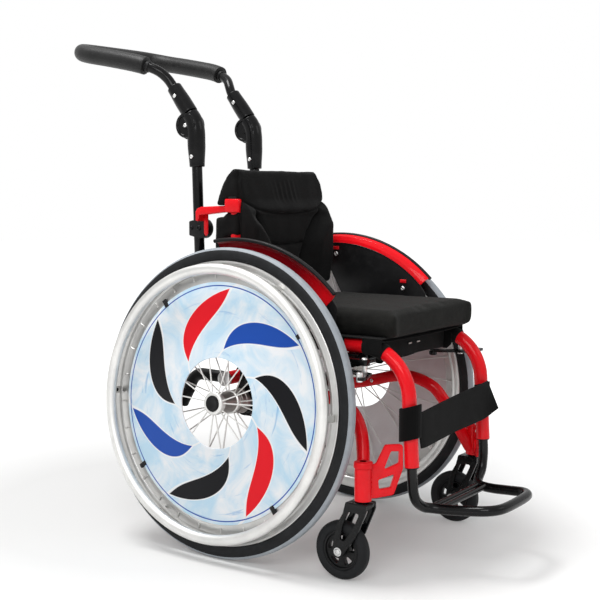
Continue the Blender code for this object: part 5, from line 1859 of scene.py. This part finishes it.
@dataclass
class PushBar:
    """Height-adjustable push tubes, ratchet elbows and the padded handle."""

    x: float = 0.091
    elbow: Pair = (0.178, 0.772)
    hub: Pair = (0.1785, 0.774)
    disc_radius: float = 0.024

    def build(self) -> None:
        """Build the push bar."""
        for side in Side:
            self.post(side)
            self.lower_elbow(side)
            self.upper_elbow(side)
        self.handle()

    def post(self, side: Side) -> None:
        """Black push tube."""
        path = [(side.value * self.x, push_y(z) - 0.0016, z) for z in (0.455, 0.59, 0.733)]
        form = pipe(path, 0.01, 28, soften=0.0014)
        side.piece("push_post", form, COAT, "push_tube", "push_posts")

    def disc(self, side: Side, back: float, face: float) -> Form:
        """Disc about the elbow's axis with a raised rim round its dished face.

        Args:
            side: the chair's side.
            back: |x| of its back.
            face: |x| of its rim.

        Returns:
            The closed disc.
        """
        radius, inward = self.disc_radius, -0.001 if face > back else 0.001
        rolls = ((2.0, 0.0), (0.6, 0.0006), (0.0, 0.002), (0.0, 0.0042), (0.7, 0.0052), (2.4, 0.006))
        rim = [(back, 0.0), (back, radius), *((face + deep * inward, radius - step) for deep, step in rolls),
            (face + 2.6 * inward, 0.0076), (face + 1.4 * inward, 0.0066), (face + 1.4 * inward, 0.0)]
        return lathe(side.flip(rim), 60, Matrix.Translation((0.0, *self.hub)))

    def lower_elbow(self, side: Side) -> None:
        """Sleeve on the push tube that bends towards the handle between two discs."""
        s = side.value
        line = mm((161.8, 695), (162.4, 715), (163.2, 740), (163.8, 760), (166.2, 774), (171.2, 785),
            (178.2, 793.7))
        run = smooth_path([(s * self.x, y, z) for y, z in line], 0.0028)
        form = pipe(run, 0.0168, 40, swell=lambda t: 0.87 + 0.15 * smooth_step(0.0, 0.42, t), soften=0.0016)
        join(form, self.disc(side, 0.096, 0.1066))
        join(form, self.disc(side, 0.086, 0.0756))
        side.piece("elbow_low", form, COAT, "elbow_lower", "push_posts", sharp=50.0)
        heads = bmesh.new()
        join(heads, screw((s * 0.105, *self.hub), (s, 0, 0), 0.0046, 0.0034))
        for facing in (-1, 1):
            seat = (s * self.x + facing * 0.0158, 0.1624, 0.7142)
            join(heads, screw(seat, (facing, 0, 0), 0.004, 0.0026))
        side.piece("elbow_low_screws", heads, STEEL, body="push_posts")

    def upper_elbow(self, side: Side) -> None:
        """Drum between the discs and the sleeve that holds the handle."""
        s = side.value
        line = mm((178.6, 797.5), (183.8, 804.2), (196.8, 820.8), (208, 835.2), (218, 848))
        run = smooth_path([(s * self.x, y, z) for y, z in line], 0.004)
        form = pipe(run, 0.016, 40, swell=lambda t: 1.0 - 0.1 * smooth_step(0.35, 1.0, t), soften=0.0014)
        drum = mm((86.8, 0), (86.8, 24), (87.5, 24.8), (94.5, 24.8), (95.2, 24), (95.2, 0))
        join(form, lathe(side.flip(drum), 60, Matrix.Translation((0.0, *self.elbow))))
        side.piece("elbow_up", form, COAT, "elbow_upper", "push_handle")
        heads = bmesh.new()
        for facing in (-1, 1):
            seat = (s * self.x + facing * 0.0152, 0.2042, 0.8305)
            join(heads, screw(seat, (facing, 0, 0), 0.004, 0.0026))
        side.piece("elbow_up_screws", heads, STEEL, body="push_handle")

    def handle(self) -> None:
        """Bent handle bar in a foam grip with rounded ends and rubber rings."""
        half = mm((91, 198.2, 825.4), (91, 219.6, 848.3), (96, 230.5, 865), (105, 243, 878.5),
            (112.5, 262, 888.5), (115.5, 274, 893), (118, 295, 899), (119, 330, 906.5), (119, 374, 915.2),
            (118.8, 408, 921.4), (113.5, 435, 927), (98.5, 456, 931.8), (70, 464.8, 934), (25, 465.2, 934.2))
        path = smooth_path(Side.RIGHT.flip(half) + Side.LEFT.flip(half[::-1]), 0.0045)
        for point in path:
            point.z += 0.016 * point.x * smooth_step(0.225, 0.3, point.y)
        form = pipe(path, 0.0096, 28)
        Workshop.piece("handle_tube", form, COAT, "handle_bar", "push_handle")
        covered = [point for point in path if point.y > 0.268]
        grip = pipe(covered, 0.0174, 40, soften=0.0016)
        Workshop.piece("grip", grip, FOAM, "handle_grip", "push_handle", sharp=60.0)
        near = [point for point in path if 0.26 < point.y < 0.275]
        rings = gather(pipe([point for point in near if point.x * side.value > 0], 0.0112, 32, soften=0.0016)
            for side in Side)
        Workshop.piece("grip_rings", rings, PLASTIC, body="push_handle")


@dataclass
class Studio:
    """Camera, soft lamps, white surround and floor of the view."""

    azimuth: float = -55.229
    pitch: float = 5.36
    roll: float = 0.108
    lens: float = 1112.0 / 600.0 * 36.0
    eye: Triple = (-1.7401, -1.2234 + AXLE_Y, 0.6407)

    def build(self) -> None:
        """Build the studio."""
        self.camera()
        self.lamps()
        self.surround()
        self.floor()

    def camera(self) -> None:
        """Camera at the view's own place."""
        turn = Matrix.Rotation(math.radians(self.azimuth), 4, "Z")
        turn @= Matrix.Rotation(math.radians(90.0 - self.pitch), 4, "X")
        turn @= Matrix.Rotation(math.radians(self.roll), 4, "Z")
        data = bpy.data.cameras.new("view")
        data.lens, data.sensor_width, data.clip_start = self.lens, 36.0, 0.05
        obj = add_object("view", data)
        obj.matrix_world = Matrix.Translation(self.eye) @ turn
        bpy.context.scene.camera = obj

    def lamp(self, name: str, place: Triple, aim: Triple, size: Pair, power: float) -> None:
        """Add one soft lamp.

        Args:
            name: the lamp's name.
            place: where it hangs.
            aim: the point that it faces.
            size: its width and height.
            power: its watts.
        """
        data = bpy.data.lights.new(name, "AREA")
        data.shape, data.size, data.size_y, data.energy = "RECTANGLE", *size, power
        turn = (Vector(aim) - Vector(place)).to_track_quat("-Z", "Y").to_matrix().to_4x4()
        add_object(name, data).matrix_world = Matrix.Translation(place) @ turn

    def lamps(self) -> None:
        """A weak front lamp, a lamp on the left and a strong one overhead."""
        self.lamp("front", (1.0, -2.8, 2.2), (0.0, 0.0, 0.4), (1.6, 1.2), 8.0)
        self.lamp("left", (-2.6, -1.1, 2.1), (0.0, 0.0, 0.4), (1.8, 1.3), 32.0)
        self.lamp("overhead", (-0.6, 0.8, 3.0), (0.0, 0.0, 0.3), (1.1, 1.1), 57.0)

    def surround(self) -> None:
        """White surround for camera, gloss and glass, and a plain level of light."""
        world = bpy.data.worlds.new("surround")
        bpy.context.scene.world = world
        board = NodeBoard(world)
        board.tree.nodes.clear()
        seen, lit = (board.add("Background", {0: (1.0, 1.0, 1.0), 1: level}).outputs[0]
            for level in (1.0, 0.44))
        paths = board.add("LightPath").outputs
        gloss = board.math("MULTIPLY_ADD", paths["Is Glossy Ray"], 0.54, paths["Is Camera Ray"])
        glass = {0: gloss, 1: paths["Is Transmission Ray"]}
        total = board.add("Math", glass, operation="ADD", use_clamp=True).outputs[0]
        board.add("OutputWorld", {0: board.add("MixShader", {0: total, 1: lit, 2: seen}).outputs[0]})
        bpy.context.scene.view_settings.view_transform = "Standard"

    def floor(self) -> None:
        """Pale floor that keeps the chair's shadow and fades to white far off; seen directly, it glows as
        painted light, which also lightens the shadow near the chair.
        """
        bm = bmesh.new()
        bmesh.ops.create_circle(bm, cap_ends=True, radius=14.0, segments=96)
        obj = add_object("floor", to_mesh("floor", bm))
        board = NodeBoard(bpy.data.materials.new("pale_floor"))
        place = board.place()
        grain = board.noise(place, 3, 3)
        board.set(Base_Color=board.mix(grain, (0.7, 0.7, 0.695), (0.72, 0.72, 0.715)), Roughness=0.9,
            Specular_IOR_Level=0.1)
        far = board.vector("DISTANCE", place, (0.0, 0.25, 0.0)).outputs["Value"]
        paths = board.add("LightPath").outputs
        seen = board.math("MAXIMUM", paths["Is Camera Ray"], board.math("MAXIMUM", paths["Is Glossy Ray"],
            paths["Is Transmission Ray"]))
        # painted glow seen directly: 0.11 near the chair, rising to 0.75 far off
        painted_glow = board.math("MULTIPLY", seen, board.span(far, 0.42, 1.5, 0.11, 0.75))
        board.set(Emission_Color=(1.0, 1.0, 1.0), Emission_Strength=painted_glow)
        obj.data.materials.append(board.owner)


def main() -> None:
    """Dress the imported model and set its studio."""
    logging.basicConfig(level=logging.INFO, format="%(message)s", stream=sys.stdout)
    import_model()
    Studio().build()
    for side in Side:
        RearWheel(side).build()
        Caster(side).build()
        SideFrame(side).build()
        SideGuard(side).build()
        Brake(side).build()
    Underframe().build()
    Seat().build()
    CalfStrap().build()
    Footrest().build()
    Backrest().build()
    PushBar().build()
    bpy.context.view_layer.update()
    LOG.info("%d pieces", len(Workshop.made))


if __name__ == "__main__":
    main()
